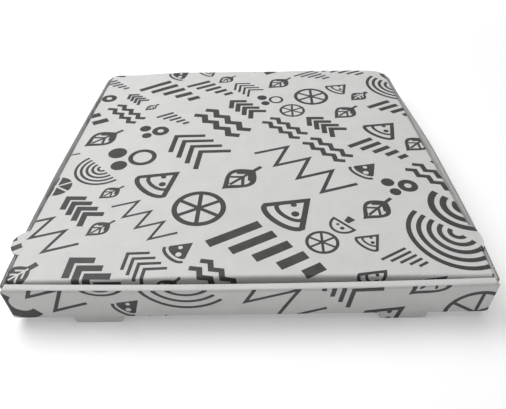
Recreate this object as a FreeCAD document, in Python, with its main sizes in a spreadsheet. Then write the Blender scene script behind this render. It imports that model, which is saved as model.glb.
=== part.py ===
"""A flat pizza box, folded from one sheet of thin fluted board: the tray, and the lid that hinges on its rear wall.

The frame has +X to the right, +Y to the rear and +Z up. Its origin is under the middle of the box, at the soles of
the two feet. All lengths are millimetres, and the one angle is in degrees.
"""
import FreeCAD, Part
import math
import os
import Sketcher

DRIVING_SIZES = {
    # Outer sizes of the closed box, over its walls.
    "box_width": 330.0,
    "box_depth": 330.0,
    # Heights above the bottom panel's underside: the rolled-over front, then the cut top edges of the other walls.
    "front_height": 30.0,
    "wall_height": 30.7,
    # The board and its folds.
    "board": 1.6,
    "fold_inner": 0.3,
    # Between layers of board that lie against each other, and between a cut end and the face it stops at.
    "layer_gap": 0.2,
    "end_gap": 0.3,
    # Two tongues of the front wall reach below the bottom panel and are the feet.
    "foot_drop": 4.8,
    "foot_width": 33.0,
    "foot_from_middle": 90.0,
    "foot_corner": 2.0,
    # The rolled-over front is locked by tabs in the holes that the feet leave in the bottom panel.
    "tab_drop": 2.0,
    "tab_side_gap": 1.0,
    "tab_corner": 0.8,
    # Flaps on the ends of the side walls, inside the front and the rear wall.
    "front_flap_length": 62.0,
    "rear_flap_length": 48.0,
    "flap_corner": 6.0,
    # The lid lies on the side walls' top edges, and its flaps tuck in behind the walls.
    "lid_gap": 0.2,
    "lid_side_gap": 0.7,
    "lid_front_gap": 0.4,
    "tuck_depth": 24.0,
    "tuck_lean": 3.5,
    "tuck_corner": 12.0,
    "side_flap_depth": 24.0,
    "side_flap_end_gap": 2.0,
    "side_flap_corner": 14.0,
    # Half-round tabs cut out of the lid's side flaps stay level with the lid and rest on the side walls.
    "half_moon_length": 25.0,
    "half_moon_reach": 9.8,
    "half_moon_from_front": 43.5,
}

BOARD = "sizes.board"
FOLD_OUTER = "(sizes.fold_inner + sizes.board)"
# A fold's section starts this far from its corner, inside the panel that it joins.
FOLD_LAP = f"(2 * {FOLD_OUTER})"
HALF_WIDTH = "(sizes.box_width / 2)"
HALF_DEPTH = "(sizes.box_depth / 2)"
BOTTOM_UNDER = "sizes.foot_drop"
BOTTOM_UPPER = "(sizes.foot_drop + sizes.board)"
FRONT_TOP = "(sizes.foot_drop + sizes.front_height)"
WALL_TOP = "(sizes.foot_drop + sizes.wall_height)"
# The rolled-over front holds three layers: outer panel, corner flap and inner panel.
STRIP_DEPTH = "(3 * sizes.board + 2 * sizes.layer_gap)"
STRIP_HALF_LENGTH = f"({HALF_WIDTH} - {FOLD_OUTER} - sizes.layer_gap)"
# The corner flaps lie one layer inside the front and rear walls.
SIDE_WALL_END = f"({HALF_DEPTH} - sizes.board - sizes.layer_gap)"
LID_UNDER = f"({WALL_TOP} + sizes.lid_gap)"
LID_TOP = f"({LID_UNDER} + sizes.board)"
LID_HALF_WIDTH = f"({HALF_WIDTH} - sizes.board - sizes.lid_side_gap)"
LID_FRONT = f"(-{HALF_DEPTH} + {STRIP_DEPTH} + sizes.lid_front_gap)"
HINGE_DEPTH = f"({HALF_DEPTH} - sizes.board / 2)"
HINGE_HEIGHT = f"({LID_UNDER} + sizes.board / 2)"
HALF_MOON_MIDDLE = f"(-{HALF_DEPTH} + sizes.half_moon_from_front)"
HALF_MOON_RADIUS = (
    "((sizes.half_moon_length / 2 * sizes.half_moon_length / 2 + sizes.half_moon_reach * sizes.half_moon_reach)"
    " / (2 * sizes.half_moon_reach))"
)

# Lengths closer than this count as equal.
FITTED = 0.001
RIGHT_ANGLE = "90"
FORWARD, BACKWARD = ("-1", "0"), ("1", "0")
UP, DOWN = ("0", "1"), ("0", "-1")


def shifted(point, direction, distance):
    """The point moved along a direction, all given as expressions."""
    moved = []
    for coordinate, share in zip(point, direction):
        moved.append(coordinate if share == "0" else f"{coordinate} + {share} * {distance}")
    return tuple(moved)


def normal_of(direction, hand):
    """The direction turned a quarter left (hand 1) or right (hand -1)."""
    across, along = direction
    turned = []
    for share, sign in ((along, -hand), (across, hand)):
        turned.append("0" if share == "0" else f"({sign} * {share})")
    return tuple(turned)


def line(start):
    return {"kind": "line", "start": start}


def arc(start, centre, radius, hand):
    """An arc from its start to the next edge's start; hand 1 turns left about the centre, -1 right."""
    return {"kind": "arc", "start": start, "centre": centre, "radius": radius, "hand": hand}


def folded_sheet(start, runs, turns, hand, end_radius=None):
    """The outline of a sheet's section: its outer face follows the runs, and the board lies on the given hand.

    A run is a direction and a length from corner to corner, and a turn is the angle of the fold between two runs.
    With an end radius, the section starts in a half round of that radius.
    """
    corner = start
    through = normal_of(runs[0][0], hand)
    inner_start = shifted(start, through, BOARD)
    if end_radius is None:
        start_edge = line(inner_start)
    else:
        start_edge = arc(inner_start, shifted(start, through, end_radius), end_radius, hand)
    outer, inner = [line(start)], [start_edge]
    for index, (direction, length) in enumerate(runs):
        corner = shifted(corner, direction, length)
        if index == len(turns):
            outer.append(line(corner))
            inner.append(line(shifted(corner, normal_of(direction, hand), BOARD)))
            break
        tangent = f"({FOLD_OUTER} * tan({turns[index]} / 2))"
        before = shifted(corner, direction, f"(-{tangent})")
        after = shifted(corner, runs[index + 1][0], tangent)
        centre = shifted(before, normal_of(direction, hand), FOLD_OUTER)
        outer += [arc(before, centre, FOLD_OUTER, hand), line(after)]
        inner_before = shifted(before, normal_of(direction, hand), BOARD)
        inner_after = shifted(after, normal_of(runs[index + 1][0], hand), BOARD)
        inner += [line(inner_before), arc(inner_after, centre, "sizes.fold_inner", -hand)]
    return outer + inner[::-1]


def rectangle(low, high):
    (left, lower), (right, upper) = low, high
    return [line((left, lower)), line((right, lower)), line((right, upper)), line((left, upper))]


def hanging_tongue(left, right, lower, upper, radius):
    """A rectangle whose two lower corners are rounded."""
    return [
        line((left, upper)),
        arc((left, f"{lower} + {radius}"), (f"{left} + {radius}", f"{lower} + {radius}"), radius, 1),
        line((f"{left} + {radius}", lower)),
        arc((f"{right} - {radius}", lower), (f"{right} - {radius}", f"{lower} + {radius}"), radius, 1),
        line((right, f"{lower} + {radius}")),
        line((right, upper)),
    ]


def signed(side, expression):
    return f"({side} * {expression})"


class SheetBody:
    """A PartDesign body whose sketches and features are bound to the sheet of sizes."""

    def __init__(self, doc, sizes, label):
        self.doc, self.sizes = doc, sizes
        self.body = doc.addObject("PartDesign::Body", label)
        self.body.Label = label

    def value(self, expression):
        return float(self.sizes.evalExpression(expression))

    def vector(self, point):
        return FreeCAD.Vector(self.value(point[0]), self.value(point[1]), 0)

    def sketch(self, name, role, offset):
        """An empty sketch on the body's own origin plane of that role, moved along the plane's normal."""
        sketch = self.body.newObject("Sketcher::SketchObject", name)
        plane = next(item for item in self.body.Origin.OriginFeatures if item.Role == role)
        sketch.AttachmentSupport = [(plane, "")]
        sketch.MapMode = "FlatFace"
        sketch.setExpression("AttachmentOffset.Base.z", offset)
        return sketch

    def bind(self, sketch, constraint, expression):
        index = sketch.addConstraint(constraint)
        sketch.setExpression(f"Constraints[{index}]", expression)

    def edge_geometry(self, edge, end):
        start = self.vector(edge["start"])
        if edge["kind"] == "line":
            return Part.LineSegment(start, end)
        centre = self.vector(edge["centre"])
        circle = Part.Circle(centre, FreeCAD.Vector(0, 0, 1), self.value(edge["radius"]))
        first, last = (start, end) if edge["hand"] > 0 else (end, start)
        angles = [math.atan2(point.y - centre.y, point.x - centre.x) for point in (first, last)]
        return Part.ArcOfCircle(circle, *angles)

    def draw(self, sketch, edges):
        """Draws a closed outline, with each corner and each arc's centre held by an expression."""
        count = len(edges)
        begins = [2 if edge.get("hand") == -1 else 1 for edge in edges]
        points = [self.vector(edge["start"]) for edge in edges]
        base = sketch.GeometryCount
        for index, edge in enumerate(edges):
            sketch.addGeometry(self.edge_geometry(edge, points[(index + 1) % count]), False)
        for index, edge in enumerate(edges):
            after = (index + 1) % count
            ends = (base + index, 3 - begins[index], base + after, begins[after])
            sketch.addConstraint(Sketcher.Constraint("Coincident", *ends))
            for axis, expression in zip(("DistanceX", "DistanceY"), edge["start"]):
                place = (-1, 1, base + index, begins[index], self.value(expression))
                self.bind(sketch, Sketcher.Constraint(axis, *place), expression)
            if edge["kind"] == "arc":
                chord = points[after] - points[index]
                which, axis = (0, "DistanceX") if abs(chord.x) < abs(chord.y) else (1, "DistanceY")
                place = (-1, 1, base + index, 3, self.value(edge["centre"][which]))
                self.bind(sketch, Sketcher.Constraint(axis, *place), edge["centre"][which])

    def disc(self, sketch, centre, radius):
        circle = Part.Circle(self.vector(centre), FreeCAD.Vector(0, 0, 1), self.value(radius))
        index = sketch.addGeometry(circle, False)
        for axis, expression in zip(("DistanceX", "DistanceY"), centre):
            place = (-1, 1, index, 3, self.value(expression))
            self.bind(sketch, Sketcher.Constraint(axis, *place), expression)
        self.bind(sketch, Sketcher.Constraint("Radius", index, self.value(radius)), radius)

    def feature(self, kind, name, sketch, length, symmetric=False, turned=False):
        feature = self.body.newObject(kind, name)
        feature.Profile = sketch
        feature.setExpression("Length", length)
        feature.SideType = "Symmetric" if symmetric else "One side"
        feature.Reversed = turned
        return feature

    def pad(self, name, role, outlines, length, offset="0", symmetric=False, turned=False):
        sketch = self.sketch(f"{name}_outline", role, offset)
        for edges in outlines:
            self.draw(sketch, edges)
        return self.feature("PartDesign::Pad", name, sketch, length, symmetric, turned)

    def pocket(self, name, role, outlines, length, offset, turned):
        """A pocket that has to take material away."""
        self.doc.recompute()
        before = self.body.Shape.Volume
        sketch = self.sketch(f"{name}_outline", role, offset)
        for edges in outlines:
            self.draw(sketch, edges)
        self.feature("PartDesign::Pocket", name, sketch, length, turned=turned)
        self.doc.recompute()
        if not self.body.Shape.Volume < before:
            raise RuntimeError(f"{name} takes nothing away")

    def round_low_corners(self, name, radius, through_board, ceiling):
        """Rounds a hanging flap's corners: the edges that run through the board, below the ceiling."""
        self.doc.recompute()
        before = self.body.Tip
        height = self.value(ceiling)
        names = []
        for index, edge in enumerate(before.Shape.Edges, start=1):
            along = edge.Vertexes[-1].Point - edge.Vertexes[0].Point
            is_through = abs(along.Length - self.value(BOARD)) < FITTED and along.cross(through_board).Length < FITTED
            if is_through and edge.BoundBox.ZMax < height:
                names.append(f"Edge{index}")
        if not names:
            raise RuntimeError(f"{name} finds no edge")
        fillet = self.body.newObject("PartDesign::Fillet", name)
        fillet.Base = (before, names)
        fillet.setExpression("Radius", radius)
        self.body.Tip = fillet
        self.doc.recompute()


def add_bottom(tray):
    """The bottom panel, as far as the folds at its four sides."""
    half_x, half_y = f"({HALF_WIDTH} - {FOLD_OUTER})", f"({HALF_DEPTH} - {FOLD_OUTER})"
    panel = rectangle((f"-{half_x}", f"-{half_y}"), (half_x, half_y))
    tray.pad("bottom_panel", "XY_Plane", [panel], BOARD, offset=BOTTOM_UNDER)


def add_front(tray):
    """The front wall, rolled over three layers deep, and the cut ends of its outer panel."""
    runs = [
        (FORWARD, FOLD_LAP),
        (UP, "sizes.front_height"),
        (BACKWARD, STRIP_DEPTH),
        (DOWN, "(sizes.front_height - sizes.board - sizes.layer_gap)"),
    ]
    start = (f"-{HALF_DEPTH} + {FOLD_LAP}", BOTTOM_UNDER)
    section = folded_sheet(start, runs, [RIGHT_ANGLE] * 3, -1)
    tray.pad("rolled_front", "YZ_Plane", [section], f"2 * {STRIP_HALF_LENGTH}", symmetric=True)
    add_wall_ends(tray, "front", -1, FRONT_TOP)


def add_rear(tray):
    """The rear wall, whose cut top edge lies just under the lid's fold."""
    runs = [(BACKWARD, FOLD_LAP), (UP, "sizes.wall_height")]
    start = (f"{HALF_DEPTH} - {FOLD_LAP}", BOTTOM_UNDER)
    section = folded_sheet(start, runs, [RIGHT_ANGLE], 1)
    tray.pad("rear_wall", "YZ_Plane", [section], f"2 * {STRIP_HALF_LENGTH}", symmetric=True)
    add_wall_ends(tray, "rear", 1, WALL_TOP)


def add_wall_ends(tray, name, towards, top):
    """Carries a front or rear wall's outer panel on past its folds, to the faces of the side walls."""
    near, far = STRIP_HALF_LENGTH, f"({HALF_WIDTH} - sizes.end_gap)"
    lower = f"({BOTTOM_UNDER} + {FOLD_OUTER})"
    ends = [
        rectangle((near, lower), (far, top)),
        rectangle((f"-{far}", lower), (f"-{near}", top)),
    ]
    outer_face = signed(-towards, HALF_DEPTH)
    tray.pad(f"{name}_ends", "XZ_Plane", ends, BOARD, offset=outer_face, turned=towards < 0)


def add_side(tray, name, side):
    """A side wall with its bottom fold, and the upright folds and flaps at its two ends."""
    runs = [((f"{side}", "0"), FOLD_LAP), (UP, "sizes.wall_height")]
    start = (signed(side, f"({HALF_WIDTH} - {FOLD_LAP})"), BOTTOM_UNDER)
    section = folded_sheet(start, runs, [RIGHT_ANGLE], side)
    length = f"2 * ({SIDE_WALL_END} - {FOLD_OUTER})"
    tray.pad(f"{name}_wall", "XZ_Plane", [section], length, symmetric=True)
    add_end_flap(tray, f"{name}_front", side, -1, FRONT_TOP, "sizes.front_flap_length")
    add_end_flap(tray, f"{name}_rear", side, 1, WALL_TOP, "sizes.rear_flap_length")


def add_end_flap(tray, name, side, towards, fold_top, length):
    """The upright fold at a side wall's end, and the flap that lies inside the front or rear wall."""
    face = (signed(side, HALF_WIDTH), signed(towards, SIDE_WALL_END))
    inwards, outwards = (f"{-side}", "0"), ("0", f"{towards}")
    before = shifted(face, outwards, f"(-{FOLD_OUTER})")
    after = shifted(face, inwards, FOLD_OUTER)
    centre = shifted(before, inwards, FOLD_OUTER)
    hand = side * towards
    bend = [
        arc(before, centre, FOLD_OUTER, hand),
        line(after),
        arc(shifted(after, outwards, f"(-{BOARD})"), centre, "sizes.fold_inner", -hand),
        line(shifted(before, inwards, BOARD)),
    ]
    lower = f"({BOTTOM_UNDER} + {FOLD_OUTER})"
    tray.pad(f"{name}_fold", "XY_Plane", [bend], f"{fold_top} - {lower}", offset=lower)
    upper = f"({fold_top} - sizes.board - sizes.end_gap)"
    root, tip = signed(side, f"({HALF_WIDTH} - {FOLD_OUTER})"), signed(side, f"({HALF_WIDTH} - {length})")
    flap = flap_outline(root, tip, lower, upper, side)
    outer_face = signed(-towards, SIDE_WALL_END)
    tray.pad(f"{name}_flap", "XZ_Plane", [flap], BOARD, offset=outer_face, turned=towards < 0)


def flap_outline(root, tip, lower, upper, side):
    """An upright flap, seen from the front, with two rounded corners at its tip."""
    radius = "sizes.flap_corner"
    inner = f"{tip} + {signed(side, radius)}"
    return [
        line((root, upper)),
        arc((inner, upper), (inner, f"{upper} - {radius}"), radius, side),
        line((tip, f"{upper} - {radius}")),
        arc((tip, f"{lower} + {radius}"), (inner, f"{lower} + {radius}"), radius, side),
        line((inner, lower)),
        line((root, lower)),
    ]


def add_feet_and_tabs(tray):
    """The feet, the holes they leave in the bottom panel, and the tabs of the inner front panel in those holes."""
    near = "sizes.foot_from_middle"
    far = f"({near} + sizes.foot_width)"
    joined = f"({BOTTOM_UNDER} + {FOLD_OUTER})"
    tab_near, tab_far = f"({near} + sizes.tab_side_gap)", f"({far} - sizes.tab_side_gap)"
    tab_lower = f"({BOTTOM_UNDER} - sizes.tab_drop)"
    tab_upper = f"({BOTTOM_UPPER} + sizes.layer_gap + sizes.board)"
    feet, tabs, holes = [], [], []
    for low, high, tab_low, tab_high in (
        (near, far, tab_near, tab_far),
        (f"(-{far})", f"(-{near})", f"(-{tab_far})", f"(-{tab_near})"),
    ):
        feet.append(hanging_tongue(low, high, "0", joined, "sizes.foot_corner"))
        tabs.append(hanging_tongue(tab_low, tab_high, tab_lower, tab_upper, "sizes.tab_corner"))
        hole_front = f"(-{HALF_DEPTH} + sizes.board)"
        holes.append(rectangle((low, hole_front), (high, f"{hole_front} + sizes.foot_drop")))
    tray.pocket("foot_holes", "XY_Plane", holes, FOLD_OUTER, BOTTOM_UNDER, turned=True)
    tray.pad("feet", "XZ_Plane", feet, BOARD, offset=HALF_DEPTH, turned=True)
    inner_panel = f"({HALF_DEPTH} - {STRIP_DEPTH} + sizes.board)"
    tray.pad("lock_tabs", "XZ_Plane", tabs, BOARD, offset=inner_panel, turned=True)


def make_tray(doc, sizes):
    tray = SheetBody(doc, sizes, "tray")
    add_bottom(tray)
    add_front(tray)
    add_rear(tray)
    add_side(tray, "left", -1)
    add_side(tray, "right", 1)
    add_feet_and_tabs(tray)
    return tray.body


def add_lid_panel(lid):
    """The lid's panel, from the half-round edge on the hinge line to the flap that tucks in behind the front."""
    start = (HINGE_DEPTH, LID_TOP)
    leaning = ("sin(sizes.tuck_lean)", "(-cos(sizes.tuck_lean))")
    runs = [(FORWARD, f"({HINGE_DEPTH} - {LID_FRONT})"), (leaning, "sizes.tuck_depth")]
    section = folded_sheet(start, runs, ["(90 + sizes.tuck_lean)"], 1, end_radius="(sizes.board / 2)")
    lid.pad("panel_and_tuck", "YZ_Plane", [section], f"2 * ({LID_HALF_WIDTH} - {FOLD_OUTER})", symmetric=True)


def add_lid_sides(lid):
    """The lid's side flaps, inside the side walls."""
    front = f"({LID_FRONT} + sizes.side_flap_end_gap)"
    rear = f"({SIDE_WALL_END} - sizes.board - sizes.side_flap_end_gap)"
    for name, side in (("left", -1), ("right", 1)):
        runs = [((f"{side}", "0"), FOLD_LAP), (DOWN, "sizes.side_flap_depth")]
        start = (signed(side, f"({LID_HALF_WIDTH} - {FOLD_LAP})"), LID_TOP)
        section = folded_sheet(start, runs, [RIGHT_ANGLE], -side)
        lid.pad(f"{name}_flap", "XZ_Plane", [section], f"{rear} - {front}", offset=f"(-{front})", turned=True)


def add_half_moons(lid):
    """Half-round tabs level with the panel, and the notches that they leave in the side flaps."""
    half = "(sizes.half_moon_length / 2)"
    low, high = f"({HALF_MOON_MIDDLE} - {half})", f"({HALF_MOON_MIDDLE} + {half})"
    past_top = f"({LID_TOP} + sizes.board)"
    chord = f"({LID_TOP} - sizes.board / 2)"
    centre_height = f"({chord} + {HALF_MOON_RADIUS} - sizes.half_moon_reach)"
    notch = [
        arc((low, chord), (HALF_MOON_MIDDLE, centre_height), HALF_MOON_RADIUS, 1),
        line((high, chord)),
        line((high, past_top)),
        line((low, past_top)),
    ]
    fold_start = f"({LID_HALF_WIDTH} - {FOLD_OUTER})"
    for name, side in (("left", -1), ("right", 1)):
        depth = f"({FOLD_OUTER} + sizes.board)"
        lid.pocket(f"{name}_notch", "YZ_Plane", [notch], depth, signed(side, fold_start), turned=side > 0)
        centre = signed(side, f"({LID_HALF_WIDTH} + sizes.half_moon_reach - {HALF_MOON_RADIUS})")
        tip = lid.sketch(f"{name}_half_moon_outline", "XY_Plane", LID_UNDER)
        lid.disc(tip, (centre, HALF_MOON_MIDDLE), HALF_MOON_RADIUS)
        lid.feature("PartDesign::Pad", f"{name}_half_moon", tip, BOARD)


def round_flap_corners(lid):
    """Rounds the lower corners of the tuck flap, which leans, and of the side flaps."""
    lean = math.radians(lid.value("sizes.tuck_lean"))
    through_tuck = FreeCAD.Vector(0, math.cos(lean), math.sin(lean))
    through_side = FreeCAD.Vector(1, 0, 0)
    for name, through_board in (("tuck", through_tuck), ("side_flap", through_side)):
        ceiling = f"{HINGE_HEIGHT} - sizes.{name}_depth / 2"
        lid.round_low_corners(f"{name}_corners", f"sizes.{name}_corner", through_board, ceiling)


def make_lid(doc, sizes):
    lid = SheetBody(doc, sizes, "lid")
    add_lid_panel(lid)
    add_lid_sides(lid)
    add_half_moons(lid)
    round_flap_corners(lid)
    return lid.body


def make_sizes(doc):
    """The sheet of driving dimensions, one row each."""
    sizes = doc.addObject("Spreadsheet::Sheet", "sizes")
    for row, (name, value) in enumerate(DRIVING_SIZES.items(), start=1):
        sizes.set(f"A{row}", str(value))
        sizes.setAlias(f"A{row}", name)
    doc.recompute()
    return sizes


def check_document(doc, bodies):
    """Raises if any object failed, any sketch is loose or any body isn't one valid solid."""
    for item in doc.Objects:
        if "Invalid" in item.State or "Error" in item.State:
            raise RuntimeError(f"{item.Label} failed: {item.State}")
        if item.TypeId == "Sketcher::SketchObject" and not item.FullyConstrained:
            raise RuntimeError(f"{item.Label} isn't fully constrained")
    for body in bodies:
        shape = body.Shape
        if shape.isNull() or not shape.isValid() or len(shape.Solids) != 1:
            raise RuntimeError(f"{body.Label} isn't one valid solid")


def main():
    doc = FreeCAD.newDocument("pizza_box")
    sizes = make_sizes(doc)
    bodies = [make_tray(doc, sizes), make_lid(doc, sizes)]
    doc.recompute()
    check_document(doc, bodies)
    os.makedirs("parts", exist_ok=True)
    for body in bodies:
        body.Shape.exportStep(f"parts/{body.Label}.step")
        box = body.Shape.BoundBox
        print(body.Label, f"{body.Shape.Volume:.1f} mm3, x {box.XMin:.2f} {box.XMax:.2f},"
              f" y {box.YMin:.2f} {box.YMax:.2f}, z {box.ZMin:.2f} {box.ZMax:.2f}")


main()
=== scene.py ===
"""Dresses a flat pizza box: one folded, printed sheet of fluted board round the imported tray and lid.

A blank is the unfolded sheet. Its u runs to the right and its v to the rear, in millimetres, and a blank's
fold method says where each of its points lies on the folded box. Blender's own lengths are metres.
"""

from __future__ import annotations

import logging
import math
import random
from dataclasses import dataclass, field
from enum import Enum
from typing import Callable, Sequence

import bpy
import numpy as np
from mathutils import Matrix, Vector
from mathutils.geometry import delaunay_2d_cdt

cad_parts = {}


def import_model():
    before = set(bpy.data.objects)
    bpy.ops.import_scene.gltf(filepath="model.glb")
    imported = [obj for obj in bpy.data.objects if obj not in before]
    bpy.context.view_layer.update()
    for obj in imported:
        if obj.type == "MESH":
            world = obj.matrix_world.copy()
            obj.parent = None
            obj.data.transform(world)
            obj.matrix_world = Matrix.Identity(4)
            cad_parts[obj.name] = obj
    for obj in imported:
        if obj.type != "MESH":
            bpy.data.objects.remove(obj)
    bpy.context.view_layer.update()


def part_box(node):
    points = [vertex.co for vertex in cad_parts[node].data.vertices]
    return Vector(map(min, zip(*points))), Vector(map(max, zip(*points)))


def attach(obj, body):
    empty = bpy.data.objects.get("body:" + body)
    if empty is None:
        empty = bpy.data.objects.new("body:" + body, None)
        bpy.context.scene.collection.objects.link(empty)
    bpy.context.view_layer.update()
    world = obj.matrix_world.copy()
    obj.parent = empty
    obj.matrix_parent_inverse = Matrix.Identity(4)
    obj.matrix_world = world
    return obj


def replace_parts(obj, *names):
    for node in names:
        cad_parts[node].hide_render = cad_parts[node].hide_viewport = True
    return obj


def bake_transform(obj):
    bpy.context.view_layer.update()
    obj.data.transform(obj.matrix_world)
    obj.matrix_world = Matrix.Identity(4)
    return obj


LOG = logging.getLogger("pizza_box")
MM = 0.001
QUARTER = 90.0
# A point this far past a limit, in millimetres, still counts as on it.
SLIP = 0.01
# A circle has at least this many chords.
FEWEST_CHORDS = 16
# The mitre of a stroke is at most half its width divided by this.
MITRE_LIMIT = 0.25


@dataclass(frozen=True)
class BoxSizes:
    """Sizes of the folded box in millimetres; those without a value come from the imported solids."""

    half_width: float
    half_depth: float
    wall_top: float
    lid_top: float
    half_moon_out: float
    foot_drop: float = 4.8
    front_height: float = 30.0
    board: float = 1.6
    fold_inner: float = 0.3
    layer_gap: float = 0.2
    end_gap: float = 0.3
    foot_width: float = 33.0
    foot_from_middle: float = 90.0
    foot_corner: float = 2.0
    tab_drop: float = 2.0
    tab_side_gap: float = 1.0
    tab_corner: float = 0.8
    front_flap_length: float = 62.0
    rear_flap_length: float = 48.0
    flap_corner: float = 6.0
    lid_side_gap: float = 0.7
    lid_front_gap: float = 0.4
    tuck_depth: float = 24.0
    tuck_lean: float = 3.5
    tuck_corner: float = 12.0
    side_flap_depth: float = 24.0
    side_flap_end_gap: float = 2.0
    side_flap_corner: float = 14.0
    half_moon_length: float = 25.0
    half_moon_from_front: float = 42.5

    @classmethod
    def from_frame(cls) -> BoxSizes:
        """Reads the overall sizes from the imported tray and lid.

        Returns:
            The sizes of this box.
        """
        tray_high, lid_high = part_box("tray")[1] / MM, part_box("lid")[1] / MM
        return cls(tray_high.x, tray_high.y, tray_high.z, lid_high.z, lid_high.x)

    @property
    def fold_outer(self) -> float:
        """Radius of a fold on the printed face."""
        return self.fold_inner + self.board

    @property
    def fold_length(self) -> float:
        """Length of a right-angled fold along the printed face."""
        return self.fold_outer * math.pi / 2

    @property
    def strip_depth(self) -> float:
        """Depth of the rolled-over front, which holds three layers."""
        return 3 * self.board + 2 * self.layer_gap

    @property
    def panel_half_u(self) -> float:
        """Half the bottom panel's width, up to its side folds."""
        return self.half_width - self.fold_outer

    @property
    def panel_half_v(self) -> float:
        """Half the bottom panel's depth, up to its front and rear folds."""
        return self.half_depth - self.fold_outer

    @property
    def front_half_u(self) -> float:
        """Half the length of the rolled-over front."""
        return self.panel_half_u - self.layer_gap

    @property
    def side_end(self) -> float:
        """Distance from the middle to the outer faces of the corner flaps."""
        return self.half_depth - self.board - self.layer_gap

    @property
    def lid_half(self) -> float:
        """Half the lid's width over its side flaps."""
        return self.half_width - self.board - self.lid_side_gap

    @property
    def lid_front(self) -> float:
        """Where the lid's front face stands."""
        return -self.half_depth + self.strip_depth + self.lid_front_gap

    @property
    def half_moon_middle(self) -> float:
        """Where the half-round tabs stand along the box."""
        return -self.half_depth + self.half_moon_from_front


class FoldPath:
    """The line that the sheet's printed face follows in section: straight runs and bends of one radius.

    Attributes:
        STEPS_PER_BEND: Mesh steps over each bend.
        SUPPORTS: Distances in millimetres from each bend to the mesh lines beside it.
    """

    STEPS_PER_BEND = 6
    SUPPORTS = (0.5, 2.5)

    def __init__(
        self,
        start: tuple[float, float],
        heading: float,
        runs: Sequence[float],
        turns: Sequence[float],
        radius: float,
        outward: int,
    ) -> None:
        """Lays the runs and bends end to end.

        Args:
            start: First point of the path.
            heading: Direction of the first run in degrees.
            runs: Lengths of the straight runs.
            turns: Angles in degrees of the bends between runs, positive to the left.
            radius: Radius of the bends.
            outward: 1 where the printed face looks to the left of the path, -1 to the right.
        """
        self.outward = outward
        self.parts: list[tuple[float, np.ndarray, float, float]] = []
        self.bends: list[tuple[float, float]] = []
        travelled, point, angle = 0.0, np.array(start, float), math.radians(heading)
        for index, run in enumerate(runs):
            self.parts.append((travelled, point.copy(), angle, 0.0))
            point = point + run * np.array([math.cos(angle), math.sin(angle)])
            travelled += run
            if index < len(turns):
                turn = math.radians(turns[index])
                curvature = math.copysign(1 / radius, turn)
                self.parts.append((travelled, point.copy(), angle, curvature))
                centre = point + self._left(angle) / curvature
                angle += turn
                point = centre - self._left(angle) / curvature
                self.bends.append((travelled, travelled + radius * abs(turn)))
                travelled = self.bends[-1][1]
        self.length = travelled

    @staticmethod
    def _left(angle: float) -> np.ndarray:
        """Unit vector to the left of a heading in radians."""
        return np.array([-math.sin(angle), math.cos(angle)])

    def at(self, along: np.ndarray) -> tuple[np.ndarray, np.ndarray]:
        """Where points of the printed face lie.

        Args:
            along: Distances from the start of the path.

        Returns:
            The points and the printed face's unit normals there, each as rows of two.
        """
        points, normals = np.zeros((len(along), 2)), np.zeros((len(along), 2))
        starts = [part[0] for part in self.parts]
        which = np.clip(np.searchsorted(starts, along, side="right") - 1, 0, len(starts) - 1)
        for index, (begin, point, angle, curvature) in enumerate(self.parts):
            chosen = which == index
            if not chosen.any():
                continue
            done = along[chosen] - begin
            if curvature:
                turned = angle + curvature * done
                step = np.stack([np.sin(turned) - math.sin(angle), math.cos(angle) - np.cos(turned)], 1)
                step /= curvature
            else:
                turned = np.full(len(done), angle)
                step = done[:, None] * np.array([math.cos(angle), math.sin(angle)])
            points[chosen] = point + step
            normals[chosen] = self.outward * np.stack([-np.sin(turned), np.cos(turned)], 1)
        return points, normals

    def lines(self) -> list[float]:
        """Where the mesh needs lines across, so that bends come out round and flats stay flat.

        Returns:
            Distances from the start of the path.
        """
        found: list[float] = []
        for low, high in self.bends:
            found += list(np.linspace(low, high, self.STEPS_PER_BEND + 1))
            found += [low - support for support in self.SUPPORTS]
            found += [high + support for support in self.SUPPORTS]
        return found


@dataclass(frozen=True)
class Corner:
    """A corner of a cut outline, with the radius that it is rounded to."""

    u: float
    v: float
    radius: float = 0.0


def rounded(corners: Sequence[Corner], steps: int = 6) -> np.ndarray:
    """Points of a closed outline whose corners are rounded.

    Args:
        corners: The outline's corners in order.
        steps: Chords in each rounded corner.

    Returns:
        The outline's points as rows of two.
    """
    points: list[np.ndarray] = []
    count = len(corners)
    for index, corner in enumerate(corners):
        here = np.array([corner.u, corner.v])
        if not corner.radius:
            points.append(here)
            continue
        before = np.array([corners[index - 1].u, corners[index - 1].v]) - here
        after = np.array([corners[(index + 1) % count].u, corners[(index + 1) % count].v]) - here
        before, after = before / np.linalg.norm(before), after / np.linalg.norm(after)
        half = math.acos(float(np.clip(before @ after, -1, 1))) / 2
        reach = corner.radius / math.tan(half)
        start, end = here + before * reach, here + after * reach
        centre = here + (before + after) / np.linalg.norm(before + after) * corner.radius / math.sin(half)
        for share in np.linspace(0, 1, steps + 1):
            away = (1 - share) ** 2 * start + 2 * share * (1 - share) * here + share**2 * end - centre
            points.append(centre + away / np.linalg.norm(away) * corner.radius)
    return np.array(points)


def mirrored(corners: Sequence[Corner]) -> list[Corner]:
    """The corners of a right half followed by those of its mirror image, as one outline."""
    return list(corners) + [Corner(-c.u, c.v, c.radius) for c in reversed(corners)]


def circle(centre: tuple[float, float], radius: float, error: float) -> np.ndarray:
    """Points of a circle.

    Args:
        centre: The circle's middle.
        radius: Its radius.
        error: How far its chords may lie inside it.

    Returns:
        The circle's points as rows of two.
    """
    count = max(FEWEST_CHORDS, math.ceil(math.pi / math.acos(1 - min(0.5, error / radius))))
    angles = np.linspace(0, 2 * math.pi, count, endpoint=False)
    return np.array(centre) + radius * np.stack([np.cos(angles), np.sin(angles)], 1)


def heading(turn: float) -> np.ndarray:
    """Unit vector at a turn in degrees from the right."""
    return np.array([math.cos(math.radians(turn)), math.sin(math.radians(turn))])


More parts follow.
